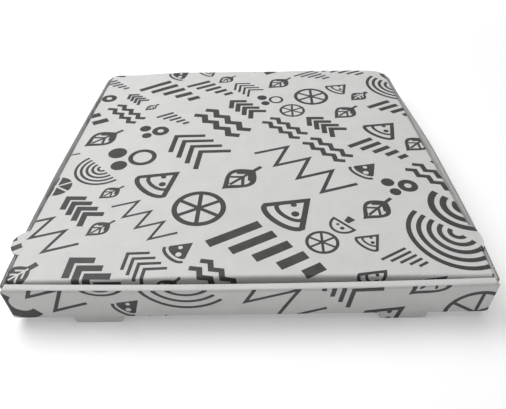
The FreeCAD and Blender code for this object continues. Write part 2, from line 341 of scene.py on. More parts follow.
@dataclass(frozen=True)
class InkShape:
    """A printed shape: an outline, and the outlines of the bare places inside it."""

    outer: np.ndarray
    holes: tuple[np.ndarray, ...] = ()

    def placed(self, scale: float, turn: float, place: np.ndarray) -> InkShape:
        """The shape scaled, then turned, then moved.

        Args:
            scale: How many times larger it becomes.
            turn: How far it is turned to the left, in degrees.
            place: Where its zero comes to lie.

        Returns:
            The new shape.
        """
        cosine, sine = heading(turn)
        rotation = np.array([[cosine, sine], [-sine, cosine]])
        return InkShape(
            self.outer * scale @ rotation + place,
            tuple(hole * scale @ rotation + place for hole in self.holes),
        )


def stroke(points: Sequence[tuple[float, float]], width: float, closed: bool = False) -> InkShape:
    """A pen stroke of one width along a line, with mitred corners.

    Args:
        points: The line's points.
        width: The stroke's width.
        closed: Whether the line comes back to its start.

    Returns:
        The stroke's shape.
    """
    line = np.array(points, float)
    count = len(line)
    sides = {1: [], -1: []}
    for index, point in enumerate(line):
        before = point - line[index - 1] if closed or index else line[1] - line[0]
        after = line[(index + 1) % count] - point if closed or index < count - 1 else point - line[index - 1]
        before, after = before / np.linalg.norm(before), after / np.linalg.norm(after)
        normal = np.array([-(before + after)[1], (before + after)[0]])
        normal = normal / np.linalg.norm(normal)
        mitre = width / 2 / max(MITRE_LIMIT, float(normal @ np.array([-before[1], before[0]])))
        for side in sides:
            sides[side].append(point + side * mitre * normal)
    left, right = np.array(sides[1]), np.array(sides[-1])
    if not closed:
        return InkShape(np.concatenate([left, right[::-1]]))
    outer, inner = (left, right) if abs(area(left)) > abs(area(right)) else (right, left)
    return InkShape(outer, (inner,))


def area(loop: np.ndarray) -> float:
    """Signed area inside a loop."""
    ahead = np.roll(loop, -1, axis=0)
    return float((loop[:, 0] * ahead[:, 1] - ahead[:, 0] * loop[:, 1]).sum() / 2)


def inside(points: np.ndarray, loop: np.ndarray) -> np.ndarray:
    """Which points lie inside a loop.

    Args:
        points: The points as rows of two.
        loop: The loop's points.

    Returns:
        One truth value a point.
    """
    ahead = np.roll(loop, -1, axis=0)
    across, up = points[:, :1], points[:, 1:]
    passes = (loop[:, 1] > up) != (ahead[:, 1] > up)
    rise = np.where(ahead[:, 1] == loop[:, 1], 1.0, ahead[:, 1] - loop[:, 1])
    meets = loop[:, 0] + (ahead[:, 0] - loop[:, 0]) * (up - loop[:, 1]) / rise
    return (passes & (across < meets)).sum(1) % 2 == 1


class Motif(Enum):
    """What the print is made of."""

    SLICE = "slice"
    WHEEL = "wheel"
    ZIGZAGS = "zigzags"
    BARS = "bars"
    LEAF = "leaf"
    CHEVRONS = "chevrons"
    CRUSTS = "crusts"
    DOTS = "dots"
    MUSHROOM = "mushroom"


class Weight(Enum):
    """Stroke width as a share of a row's height."""

    LIGHT = 0.07
    REGULAR = 0.1
    BOLD = 0.19


Drawing = tuple[list[InkShape], float]


class MotifPen:
    """Draws each motif one unit high, standing on zero, with strokes of one width.

    Attributes:
        FINE: How far the chords of a large circle may lie inside it.
        COARSE: The same for a small circle.
    """

    FINE = 0.001
    COARSE = 0.002

    def __init__(self, weight: Weight) -> None:
        """Keeps the stroke width, as a share of the height."""
        self.width = weight.value
        self.bold = weight is Weight.BOLD

    def draw(self, motif: Motif) -> Drawing:
        """The shapes of a motif, and how far it reaches along its row."""
        return getattr(self, motif.value)()

    def spots(self, *places: tuple[float, float, float]) -> list[np.ndarray]:
        """Small circles, each given by its middle and its radius."""
        return [circle((across, up), radius, self.COARSE) for across, up, radius in places]

    def ring(self, middle: tuple[float, float], radius: float) -> InkShape:
        """A round stroke that keeps inside a radius."""
        hole = circle(middle, radius - self.width, self.FINE)
        return InkShape(circle(middle, radius, self.FINE), (hole,))

    def slice(self) -> Drawing:
        """A slice: two straight cuts, a round crust and round toppings.

        Returns:
            Its shapes and its reach.
        """
        reach, foot, shoulder, crown = 0.94, 0.04, 0.8, 0.2
        middle = reach / 2

        def brim(drop: float, inset: float) -> list[tuple[float, float]]:
            """The round upper end, lowered and drawn in.

            Args:
                drop: How far it is lowered.
                inset: How far it is drawn in at each side.

            Returns:
                Its points from left to right.
            """
            half, rise = middle - inset, crown - inset / 3
            return [
                (middle - half * math.cos(angle), shoulder - drop + rise * math.sin(angle))
                for angle in np.linspace(0, math.pi, 12)
            ]

        if self.bold:
            toppings = self.spots((0.37, 0.66, 0.09), (0.56, 0.44, 0.07))
            filling = InkShape(np.array([(middle, foot), *brim(0.17, 0.1)]), tuple(toppings))
            return [filling, stroke(brim(0.05, 0.05), 0.1)], reach
        inset = self.width / 2
        edge = stroke([(middle, foot + self.width), *brim(inset, inset)], self.width, closed=True)
        crust = stroke(brim(self.width * 2.1, self.width * 1.9), self.width * 0.8)
        toppings = self.spots((0.37, 0.56, 0.07), (0.55, 0.4, 0.055))
        return [edge, crust, *map(InkShape, toppings)], reach

    def wheel(self) -> Drawing:
        """A whole round, cut in six.

        Returns:
            Its shapes and its reach.
        """
        radius, middle = 0.5, np.array([0.5, 0.5])
        start, sector = 15, 60
        shapes = []
        if self.bold:
            gap, apart = 4, 0.06
            for turn in range(start, start + 360, sector):
                angles = np.radians(np.linspace(turn + gap, turn + sector - gap, 8))
                rim = middle + radius * np.stack([np.cos(angles), np.sin(angles)], 1)
                tip = middle + apart * heading(turn + sector / 2)
                shapes.append(InkShape(np.vstack([tip, rim])))
            return shapes, 2 * radius
        shapes.append(self.ring(tuple(middle), radius))
        for turn in range(start, start + 180, sector):
            spoke = heading(turn) * (radius - self.width * 0.6)
            shapes.append(stroke([tuple(middle - spoke), tuple(middle + spoke)], self.width * 0.8))
        return shapes, 2 * radius

    def zigzags(self) -> Drawing:
        """One long zigzag, or two bold ones side by side.

        Returns:
            Its shapes and its reach.
        """
        count, step, rise, clear = (2, 0.24, 0.41, 0.2) if self.bold else (1, 0.36, 1.0, 1.0)
        margin, turns = 0.06, 7
        shapes = []
        for row in range(count):
            low, high = row * rise + self.width, (row + 1) * rise - self.width * clear
            points = [(margin + step * i, high if i % 2 else low) for i in range(turns + 1)]
            shapes.append(stroke(points, self.width * 0.9))
        return shapes, 2 * margin + step * turns

    def bars(self) -> Drawing:
        """Leaning bars of growing length.

        Returns:
            Its shapes and its reach.
        """
        step, lean = max(0.21, self.width * 1.9), 0.24
        tops = (0.36, 0.52, 0.68, 0.84, 1.0)
        shapes = []
        for index, top in enumerate(tops):
            foot = step * index + self.width
            shapes.append(stroke([(foot, 0), (foot + lean * top, top)], self.width))
        return shapes, step * (len(tops) - 1) + self.width * 2 + lean

    def leaf(self) -> Drawing:
        """A pointed leaf on its stalk, with rib and veins.

        Returns:
            Its shapes and its reach.
        """
        half, middle, foot = 0.3, 0.34, 0.16
        vein_roots, vein_length = (0.3, 0.47), 0.17

        def edge(inset: float) -> np.ndarray:
            """The leaf's outline, drawn in.

            Args:
                inset: How far it is drawn in at its widest.

            Returns:
                Its points as rows of two.
            """
            low, high = foot + 1.8 * inset, 1 - 1.8 * inset
            shares = np.linspace(0, 1, 15)
            reach = (half - inset) * np.maximum(np.sin(math.pi * shares**0.8), 0) ** 1.25
            right = np.stack([middle + reach, low + (high - low) * shares], 1)
            return np.vstack([right, (right[1:-1] * (-1, 1) + (2 * middle, 0))[::-1]])

        thin = 0.05 if self.bold else self.width * 0.6
        veins = [
            stroke([(middle, root), (middle + side * vein_length, root + vein_length)], thin)
            for root in vein_roots
            for side in (-1, 1)
        ]
        rib = stroke([(middle, foot + 0.05), (middle, 0.8)], thin)
        stalk = stroke([(middle, 0.0), (middle, foot + 0.06)], max(0.07, self.width * 0.8))
        if self.bold:
            return [InkShape(edge(0), tuple(line.outer for line in (rib, *veins))), stalk], 2 * middle
        return [InkShape(edge(0), (edge(self.width * 0.9),)), rib, stalk, *veins], 2 * middle

    def chevrons(self) -> Drawing:
        """Arrow heads, one behind another.

        Returns:
            Its shapes and its reach.
        """
        count, step, depth, inset = 4, max(0.27, self.width * 1.9), 0.4, self.width * 0.5
        shapes = [
            stroke([(step * i, inset), (step * i + depth, 0.5), (step * i, 1 - inset)], self.width)
            for i in range(count)
        ]
        return shapes, step * (count - 1) + depth + self.width

    def crusts(self) -> Drawing:
        """Half rounds, one inside another.

        Returns:
            Its shapes and its reach.
        """
        largest, middle = 0.95, 0.98
        angles = np.linspace(0, math.pi, 25)
        shapes = []
        for radius in np.arange(largest, self.width, -max(0.2, self.width * 1.75)):
            points = [(middle + radius * math.cos(angle), radius * math.sin(angle)) for angle in angles]
            shapes.append(stroke(points, self.width))
        return shapes, 2 * middle

    def dots(self) -> Drawing:
        """Round toppings, one of them an open ring.

        Returns:
            Its shapes and its reach.
        """
        filled = [((0.4, 0.83), 0.17), ((0.83, 0.6), 0.2)]
        discs = [InkShape(circle(middle, radius, self.FINE)) for middle, radius in filled]
        return [self.ring((0.31, 0.31), 0.3), *discs], 1.05

    def mushroom(self) -> Drawing:
        """A mushroom cut in half: cap and stem.

        Returns:
            Its shapes and its reach.
        """
        middle, brim, height, reach = 0.5, 0.42, 0.56, 1.0
        angles = np.linspace(0, math.pi, 16)
        cap = [(middle + middle * math.cos(angle), brim + height * math.sin(angle)) for angle in angles]
        stem = InkShape(np.array([(0.4, 0.34), (0.34, 0.02), (0.66, 0.02), (0.6, 0.34)]))
        if self.bold:
            return [InkShape(np.array(cap)), stem], reach
        shrink = 1 - self.width
        lift = brim + self.width / 2
        line = [(middle + (across - middle) * shrink, lift + (up - brim) * shrink) for across, up in cap]
        spots = self.spots((0.4, 0.7, 0.08), (0.64, 0.64, 0.06))
        return [stroke(line, self.width, closed=True), stem, *map(InkShape, spots)], reach


@dataclass
class PrintDesign:
    """An all-over print of motif rows that run both ways along the sheet's diagonals.

    The sheet is cut up into upright and lying rectangles, seen turned by about an eighth of a circle, and
    each gets a row. Lengths are millimetres.

    Attributes:
        seed: Seed of the design's random numbers.
        turn: Turn of the rows on the sheet in degrees.
        row_limits: Widths past which a rectangle may be split lengthways; one is drawn each time.
        smallest_row: Least width of a row.
        longest_row: Most that a row's length may be, in widths.
        split: Where a rectangle may be split lengthways, as shares of its width.
        crosscut: Where a long one may be cut across, as shares of its length.
        fill: A motif's height as a share of its row's width.
        gap: Least gap between motifs, in heights.
        least_light_row: Rows lower than this have no light strokes.
        heaviest_row: Rows as high as this or higher have no bold strokes.
        commonness: How often each member of Motif is offered.
    """

    seed: int = 22
    turn: float = 43.0
    row_limits: tuple[float, ...] = (34.0, 50.0, 62.0, 74.0)
    smallest_row: float = 22.0
    longest_row: float = 4.8
    split: tuple[float, float] = (0.36, 0.64)
    crosscut: tuple[float, float] = (0.4, 0.6)
    fill: float = 0.86
    gap: float = 0.17
    least_light_row: float = 35.2
    heaviest_row: float = 52.0
    commonness: tuple[int, ...] = (2, 1, 2, 2, 1, 2, 1, 1, 1)
    rng: random.Random = field(init=False)

    def __post_init__(self) -> None:
        """Seeds the design's own random numbers."""
        self.rng = random.Random(self.seed)

    def rows(self, low: np.ndarray, high: np.ndarray) -> list[InkShape]:
        """Fills a rectangle of the turned sheet, cutting it up until each part suits one row.

        Args:
            low: The rectangle's lowest corner.
            high: Its highest corner.

        Returns:
            The shapes of all rows, on the turned sheet.
        """
        size = high - low
        short, long = float(size.min()), float(size.max())
        if short > self.rng.choice(self.row_limits) and short > 2 * self.smallest_row:
            return self._cut(low, high, int(size.argmin()), self.rng.uniform(*self.split))
        if long > self.longest_row * short:
            return self._cut(low, high, int(size.argmax()), self.rng.uniform(*self.crosscut))
        return self._row(low, size)

    def _cut(self, low: np.ndarray, high: np.ndarray, axis: int, share: float) -> list[InkShape]:
        """Fills the two parts of a rectangle that is cut across an axis.

        Args:
            low: The rectangle's lowest corner.
            high: Its highest corner.
            axis: The axis, 0 or 1.
            share: Where it is cut along that axis, from 0 to 1.

        Returns:
            The shapes of both parts.
        """
        cut_high, cut_low = high.copy(), low.copy()
        cut_high[axis] = cut_low[axis] = low[axis] + share * (high - low)[axis]
        return self.rows(low, cut_high) + self.rows(cut_low, high)

    def _choose(self, height: float, room: float) -> list[Drawing]:
        """Motifs of one weight that together fit a row.

        Args:
            height: The row's height.
            room: The row's length in heights.

        Returns:
            The chosen drawings in order.
        """
        weights = [Weight.REGULAR, Weight.REGULAR]
        weights += [Weight.LIGHT] if height > self.least_light_row else []
        weights += [Weight.BOLD, Weight.BOLD] if height < self.heaviest_row else []
        pen = MotifPen(self.rng.choice(weights))
        chosen: list[Drawing] = []
        last = None
        while True:
            order = self.rng.sample(list(Motif), counts=self.commonness, k=sum(self.commonness))
            fitting = [m for m in order if m is not last and pen.draw(m)[1] <= room]
            if not fitting:
                return chosen
            last = fitting[0]
            chosen.append(pen.draw(last))
            room -= chosen[-1][1] + self.gap

    def _row(self, low: np.ndarray, size: np.ndarray) -> list[InkShape]:
        """One row of motifs along a rectangle's longer side, spaced out to fill it.

        Args:
            low: The rectangle's lowest corner.
            size: Its size both ways.

        Returns:
            The row's shapes.
        """
        upright = size[1] > size[0]
        height, length = self.fill * float(size.min()), float(size.max())
        margin = (float(size.min()) - height) / 2
        drawings = self._choose(height, (length - 2 * margin) / height)
        inked = height * sum(reach for _, reach in drawings)
        gap = (length - 2 * margin - inked) / max(1, len(drawings) - 1)
        travelled = margin if len(drawings) > 1 else length / 2 - inked / 2
        shapes = []
        for drawn, reach in drawings:
            corner = (size[0] - margin, travelled) if upright else (travelled, margin)
            place = low + np.array(corner)
            shapes += [shape.placed(height, QUARTER if upright else 0.0, place) for shape in drawn]
            travelled += reach * height + gap
        return shapes

    def shapes(self, low: tuple[float, float], high: tuple[float, float]) -> list[InkShape]:
        """All shapes that may reach a rectangle of the sheet.

        Args:
            low: The rectangle's lowest corner on the sheet.
            high: Its highest corner.

        Returns:
            The shapes, on the sheet.
        """
        angle = math.radians(self.turn)
        middle = (np.array(low) + np.array(high)) / 2
        span = np.array(high) - np.array(low)
        reach = (abs(math.cos(angle)) * span + abs(math.sin(angle)) * span[::-1]) / 2
        return [shape.placed(1.0, self.turn, middle) for shape in self.rows(-reach, reach)]


@dataclass
class Bow:
    """A smooth curve through values at stations along an edge, in millimetres."""

    stations: tuple[float, ...]
    values: tuple[float, ...]

    def at(self, where: np.ndarray) -> np.ndarray:
        """The curve's values.

        Args:
            where: Places along the edge.

        Returns:
            One value a place.
        """
        x, y = np.array(self.stations), np.array(self.values)
        slopes = np.gradient(y, x)
        index = np.clip(np.searchsorted(x, where, side="right") - 1, 0, len(x) - 2)
        width = x[index + 1] - x[index]
        t = np.clip((where - x[index]) / width, 0, 1)
        return (
            (1 + 2 * t) * (1 - t) ** 2 * y[index]
            + t * (1 - t) ** 2 * width * slopes[index]
            + t**2 * (3 - 2 * t) * y[index + 1]
            + t**2 * (t - 1) * width * slopes[index + 1]
        )


def eased(low: float, high: float, value: np.ndarray) -> np.ndarray:
    """A smooth step from 0 at low to 1 at high."""
    t = np.clip((value - low) / (high - low), 0, 1)
    return t * t * (3 - 2 * t)


def bow(*stops: tuple[float, float]) -> Bow:
    """A dataclass field that holds a bow, given as pairs of a station and its value."""
    return field(default_factory=lambda: Bow(*zip(*stops)))


@dataclass(frozen=True)
class Dent:
    """A corner that has been knocked in: where, which way and how far, and how far round it reaches."""

    place: tuple[float, float, float]
    push: tuple[float, float, float]
    reach: float

    def at(self, points: np.ndarray) -> np.ndarray:
        """The push on each of some points."""
        away = ((points - np.array(self.place)) ** 2).sum(1)
        return np.exp(-away / self.reach**2)[:, None] * np.array(self.push)


@dataclass
class Settling:
    """How the light board has bowed and waved on the real box, as small shifts of the folded shape.

    Each bow runs along one edge of the box and gives the shift there, which fades away from that edge.

    Reaches and fades are distances in millimetres over which a shift goes away. A tab's reach is the share
    of its length that still stands out.
    """

    sizes: BoxSizes
    right_bow: Bow = bow(
        (-165, 0.4), (-156, 1.1), (-135, 2.6), (-103, 3.9), (-39, 5.0),
        (4, 5.3), (57, 3.3), (108, 0.8), (140, 0.2), (165, 0),
    )
    left_bow: Bow = bow(
        (-165, 1.0), (-150, 2.0), (-133, 2.4), (-120, 2.6), (-103, 3.0), (-92, 3.2), (-70, 3.4),
        (-45, 3.7), (-20, 3.5), (30, 2.7), (85, 1.8), (130, 0.6), (165, 0),
    )
    rear_bow: Bow = bow(
        (-165, 0), (-125, 0), (-108, 0.5), (-85, 1), (-50, 0.9), (0, 0.9),
        (30, 0.8), (70, 1.1), (100, 1), (125, 1), (148, 0.8), (165, 0.2),
    )
    rear_lift: Bow = bow(
        (-165, 0), (-125, 0), (-108, 1), (-85, 1.9), (-50, 1.8), (0, 1.9),
        (30, 1.8), (70, 2.2), (100, 2.1), (125, 2), (148, 1.5), (165, 0.3),
    )
    front_sag: Bow = bow(
        (-165, -2.2), (-125, -2.0), (-65, -0.8), (0, 0), (65, -0.7), (100, -1.4), (145, -2.2), (165, -2.3),
    )
    front_bow: float = 2.6
    bow_power: float = 1.4
    wall_reach: float = 8.0
    side_reach: float = 25.0
    end_reach: float = 30.0
    lid_taper_rear: float = -1.9
    lid_taper_front: float = 2.1
    right_tab_reach: float = 0.4
    left_tab_reach: float = 0.84
    roll_slack: float = 1.4
    roll_slack_fade: float = 60.0
    rear_bow_fade: float = 30.0
    rear_lift_fade: float = 150.0
    front_sag_fade: float = 36.0
    dents: tuple[Dent, ...] = (
        Dent((-163.0, 163.0, 37.0), (2.0, -1.6, -1.1), 7.0),
        Dent((162.0, 163.0, 37.0), (-2.2, -1.2, -1.0), 8.0),
    )

    def _corners(self, points: np.ndarray) -> np.ndarray:
        """Points after the knocks on the rear corners."""
        return points + sum(dent.at(points) for dent in self.dents)

    def _roll(self, points: np.ndarray) -> np.ndarray:
        """How far the rolled front has sprung open.

        Args:
            points: Points of the folded tray as rows of three.

        Returns:
            The shift of each point to the rear.
        """
        sizes = self.sizes
        x, y, z = points.T
        first = sizes.fold_outer
        along_strip = np.clip((y + sizes.half_depth - first) / (sizes.strip_depth - 2 * first), 0, 1)
        over_flaps = z > sizes.foot_drop + sizes.front_height - sizes.board - sizes.layer_gap / 2
        behind_flaps = y > -sizes.half_depth + 2 * sizes.board + 1.5 * sizes.layer_gap
        up_panel = behind_flaps * eased(sizes.foot_drop, sizes.front_height, z)
        in_roll = (y < -sizes.half_depth + sizes.strip_depth + SLIP) & (np.abs(x) < sizes.front_half_u + SLIP)
        return self.roll_slack * np.where(over_flaps, along_strip, up_panel) * in_roll

    def tray(self, points: np.ndarray) -> np.ndarray:
        """Where points of the tray have moved to.

        Args:
            points: Points of the folded tray as rows of three.

        Returns:
            The shifted points.
        """
        sizes = self.sizes
        x, y, z = points.T
        rise = np.clip((z - sizes.foot_drop) / sizes.front_height, 0, 1)
        height = rise**self.bow_power
        moved = points.copy()
        at_side = eased(sizes.half_width - self.side_reach, sizes.half_width - self.wall_reach, np.abs(x))
        side = np.where(x > 0, self.right_bow.at(y), self.left_bow.at(y))
        moved[:, 0] += np.sign(x) * side * height * at_side
        at_front = 1 - eased(self.wall_reach - sizes.half_depth, self.end_reach - sizes.half_depth, y)
        arch = 1 - np.clip(np.abs(x) / sizes.half_width, 0, 1) ** 2
        moved[:, 1] -= self.front_bow * arch * height * at_front
        moved[:, 1] += self._roll(points)
        at_rear = eased(sizes.half_depth - self.end_reach, sizes.half_depth - self.wall_reach, y)
        moved[:, 1] += self.rear_bow.at(x) * height * at_rear
        moved[:, 2] += self.rear_lift.at(x) * rise * at_rear
        return self._corners(moved)

    def lid(self, points: np.ndarray) -> np.ndarray:
        """Where points of the lid have moved to.

        Args:
            points: Points of the folded lid as rows of three.

        Returns:
            The shifted points.
        """
        sizes = self.sizes
        x, y, z = points.T
        moved = points.copy()
        run = np.clip((y + sizes.half_depth) / (2 * sizes.half_depth), 0, 1)
        taper = self.lid_taper_front + (self.lid_taper_rear - self.lid_taper_front) * run
        moved[:, 0] += np.clip(x / sizes.lid_half, -1, 1) * taper
        moved[:, 0] -= (1 - self.right_tab_reach) * np.maximum(x - sizes.lid_half, 0)
        moved[:, 0] += (1 - self.left_tab_reach) * np.maximum(-x - sizes.lid_half, 0)
        moved[:, 1] += self.roll_slack * (1 - eased(0, self.roll_slack_fade, y - sizes.lid_front))
        behind = np.maximum(sizes.half_depth - y, 0)
        moved[:, 1] += self.rear_bow.at(x) * np.exp(-behind / self.rear_bow_fade)
        moved[:, 2] += self.rear_lift.at(x) * np.exp(-((behind / self.rear_lift_fade) ** 2))
        moved[:, 2] += self.front_sag.at(x) * (1 - eased(0, self.front_sag_fade, y - sizes.lid_front))
        return self._corners(moved)


@dataclass
class Blank:
    """One cut piece of the sheet, with the grid that its mesh needs.

    Attributes:
        name: Name of the piece that it becomes.
        outline: The cut outline.
        slots: Cuts and holes inside the outline.
        u_lines: Lines of the mesh across u.
        v_lines: Lines of the mesh across v.
        faces_up: Whether the printed face looks up when u and v are seen from above.
        fold: From points of the blank to points of the printed face and its normals on the folded box.
        printed: Which points of the blank may carry print.
        on_sheet: From a v of this blank to the v of the whole sheet's print, as a scale and a shift.
        settle: From points of the folded box to where they have moved.
        creases: The folds, each as an axis of the blank and the two values that it lies between.
    """

    name: str
    outline: np.ndarray
    slots: list[np.ndarray]
    u_lines: list[float]
    v_lines: list[float]
    faces_up: bool
    fold: Callable[[np.ndarray], tuple[np.ndarray, np.ndarray]]
    printed: Callable[[np.ndarray], np.ndarray]
    on_sheet: tuple[float, float]
    settle: Callable[[np.ndarray], np.ndarray]
    creases: list[tuple[int, float, float]]

    def on_box(self, flat: np.ndarray, depth: float) -> np.ndarray:
        """Points of the folded, settled board at a depth under its printed face."""
        points, normals = self.fold(flat)
        return self.settle(points - normals * depth)


class Liner(Enum):
    """Material slots of a piece of board, in order."""

    PRINTED = 0
    INK = 1
    INSIDE = 2
    # The hollow of a cut edge, coloured dark as painted shade for the gaps between the flutes.
    CUT_EDGE = 3
    HOLLOW = 4


@dataclass
class BoardMesher:
    """Turns a blank into a closed sheet of board, inked where print lies, with hollow cut edges.

    Edges that turn more than its sharp angle, in degrees, are shaded sharp.
    """

    sizes: BoxSizes
    liner: float = 0.24
    groove: float = 0.9
    rub: float = 1.4
    merge: float = 1e-4
    corner_limit: float = 1.2
    sharp_angle: float = 38.0

    def triangles(
        self, blank: Blank, shapes: Sequence[InkShape]
    ) -> tuple[np.ndarray, np.ndarray, np.ndarray]:
        """Triangulates a blank along its cuts, its grid and its print.

        Args:
            blank: The blank.
            shapes: The sheet's printed shapes.

        Returns:
            Points on the blank, triangles that go round leftwards, and whether each is inked.
        """
        low, high = blank.outline.min(0), blank.outline.max(0)
        loops = [blank.outline, *blank.slots]
        roles: list[tuple[str, int]] = [("sheet", 0)] + [("slot", 0)] * len(blank.slots)
        scale, shift = blank.on_sheet
        for index, shape in enumerate(shapes):
            for role, loop in (("ink", shape.outer), *(("bare", hole) for hole in shape.holes)):
                placed = np.stack([loop[:, 0], (loop[:, 1] - shift) / scale], 1)
                if (placed.max(0) > low).all() and (placed.min(0) < high).all():
                    loops.append(placed)
                    roles.append((role, index))
        points: list[Vector] = []
        faces: list[list[int]] = []
        for loop in loops:
            ordered = loop if area(loop) > 0 else loop[::-1]
            faces.append(list(range(len(points), len(points) + len(ordered))))
            points += [Vector(point) for point in ordered]
        edges: list[tuple[int, int]] = []
        for end in self._grid_ends(blank, low, high):
            edges.append((len(points), len(points) + 1))
            points += end
        found = delaunay_2d_cdt(points, edges, faces, 0, self.merge, True)
        flat = np.array([tuple(point) for point in found[0]])
        kept, inked = [], []
        for corners, origins in zip(found[2], found[5]):
            held = [roles[origin] for origin in origins]
            if ("sheet", 0) not in held or ("slot", 0) in held:
                continue
            bare = {index for role, index in held if role == "bare"}
            kept.append(corners)
            inked.append(any(role == "ink" and index not in bare for role, index in held))
        corners = np.array(kept)
        return flat, corners, np.array(inked) & blank.printed(flat[corners].mean(1))

    @staticmethod
    def _grid_ends(blank: Blank, low: np.ndarray, high: np.ndarray) -> list[list[Vector]]:
        """The two ends of each line of a blank's grid, just outside it.

        Args:
            blank: The blank.
            low: Its lowest corner.
            high: Its highest corner.

        Returns:
            Pairs of ends, for the lines that cross the blank.
        """
        across = [
            [Vector((u, low[1] - 1)), Vector((u, high[1] + 1))] for u in blank.u_lines if low[0] < u < high[0]
        ]
        along = [
            [Vector((low[0] - 1, v)), Vector((high[0] + 1, v))] for v in blank.v_lines if low[1] < v < high[1]
        ]
        return across + along

    def build(
        self, blank: Blank, shapes: Sequence[InkShape], finishes: Sequence[bpy.types.Material]
    ) -> bpy.types.Object:
        """Makes the folded and settled piece of board.

        Args:
            blank: The blank.
            shapes: The sheet's printed shapes.
            finishes: A material for each member of Liner.

        Returns:
            The piece, linked to the scene.
        """
        flat, corners, inked = self.triangles(blank, shapes)
        used, compact = np.unique(corners, return_inverse=True)
        flat, corners = flat[used], compact.reshape(corners.shape)
        count, board = len(flat), self.sizes.board
        rim = self._rim(corners)
        on_rim = np.zeros(count, bool)
        on_rim[rim[:, 0]] = True
        sunk = flat + self._inward(flat, rim) * self.groove
        upper, lower = self.liner, board - self.liner
        rings = [(flat, upper), (sunk, upper), (sunk, lower), (flat, lower)]
        layers = [blank.on_box(flat, 0.0), blank.on_box(flat, board)]
        layers += [blank.on_box(place[on_rim], depth) for place, depth in rings]
        # Each rim edge's points, from the printed face over the rings to the inner face.
        number = np.cumsum(on_rim) - 1
        firsts = [2 * count + ring * int(on_rim.sum()) for ring in range(len(rings))]
        rows = [rim, *(first + number[rim] for first in firsts), rim + count]
        kinds = (Liner.CUT_EDGE, Liner.HOLLOW, Liner.HOLLOW, Liner.HOLLOW, Liner.CUT_EDGE)
        outer, inner = corners, (corners + count)[:, ::-1]
        quads = [np.hstack([above[:, ::-1], below]) for above, below in zip(rows, rows[1:])]
        order = 1 if blank.faces_up else -1
        faces = [face for part in (outer, inner, *quads) for face in part[:, ::order].tolist()]
        slots = [np.where(inked, Liner.INK.value, Liner.PRINTED.value)]
        slots += [np.full(len(corners), Liner.INSIDE.value)]
        slots += [np.full(len(rim), kind.value) for kind in kinds]
        mesh = bpy.data.meshes.new(blank.name)
        mesh.from_pydata((np.concatenate(layers) * MM).tolist(), [], faces)
        mesh.polygons.foreach_set("material_index", np.concatenate(slots).astype(np.int32))
        for finish in finishes:
            mesh.materials.append(finish)
        crease = self._crease(blank, flat)
        values = np.concatenate([crease, crease, *[crease[on_rim]] * len(rings)])
        mesh.attributes.new("crease", "FLOAT", "POINT").data.foreach_set("value", values.astype(np.float32))
        mesh.shade_smooth()
        mesh.set_sharp_from_angle(angle=math.radians(self.sharp_angle))
        mesh.validate()
        LOG.info("%s: %d triangles on its printed face, %d inked", blank.name, len(corners), inked.sum())
        return linked(bpy.data.objects.new(blank.name, mesh))

    @staticmethod
    def _rim(corners: np.ndarray) -> np.ndarray:
        """The edges that only one triangle has.

        Args:
            corners: The triangles.

        Returns:
            The edges' two ends as rows, in their triangle's sense.
        """
        edges = np.concatenate([corners[:, [0, 1]], corners[:, [1, 2]], corners[:, [2, 0]]])
        ordered = np.sort(edges, axis=1)
        _, index, counts = np.unique(ordered, axis=0, return_index=True, return_counts=True)
        return edges[index[counts == 1]]

    def _inward(self, flat: np.ndarray, rim: np.ndarray) -> np.ndarray:
        """Steps from the rim into the board, so long that the groove keeps one depth round corners.

        Args:
            flat: The blank's points.
            rim: The edges of its rim.

        Returns:
            One step a point, which is zero off the rim.
        """
        along = flat[rim[:, 1]] - flat[rim[:, 0]]
        along = along / np.maximum(np.linalg.norm(along, axis=1, keepdims=True), 1e-9)
        normals = np.stack([-along[:, 1], along[:, 0]], 1)
        total = np.zeros_like(flat)
        np.add.at(total, rim[:, 0], normals)
        np.add.at(total, rim[:, 1], normals)
        squares = (total**2).sum(1)
        return total * (2 / np.maximum(squares, self.corner_limit))[:, None]

    def _crease(self, blank: Blank, flat: np.ndarray) -> np.ndarray:
        """How near each point is to a fold.

        Args:
            blank: The blank.
            flat: Its points.

        Returns:
            A value a point, from 0 far away to 1 on a fold.
        """
        value = np.zeros(len(flat))
        for axis, low, high in blank.creases:
            place = np.abs(flat[:, axis]) if axis == 0 else flat[:, axis]
            away = np.maximum(np.maximum(low - place, place - high), 0)
            value = np.maximum(value, np.exp(-away / self.rub))
        return value


def linked(piece: bpy.types.Object) -> bpy.types.Object:
    """An object, now in the scene."""
    bpy.context.scene.collection.objects.link(piece)
    return piece


def spread(low: float, high: float, step: float) -> list[float]:
    """Evenly spaced values between two ends, both left out, about a step apart."""
    count = max(1, round((high - low) / step))
    return list(np.linspace(low, high, count + 1)[1:-1])


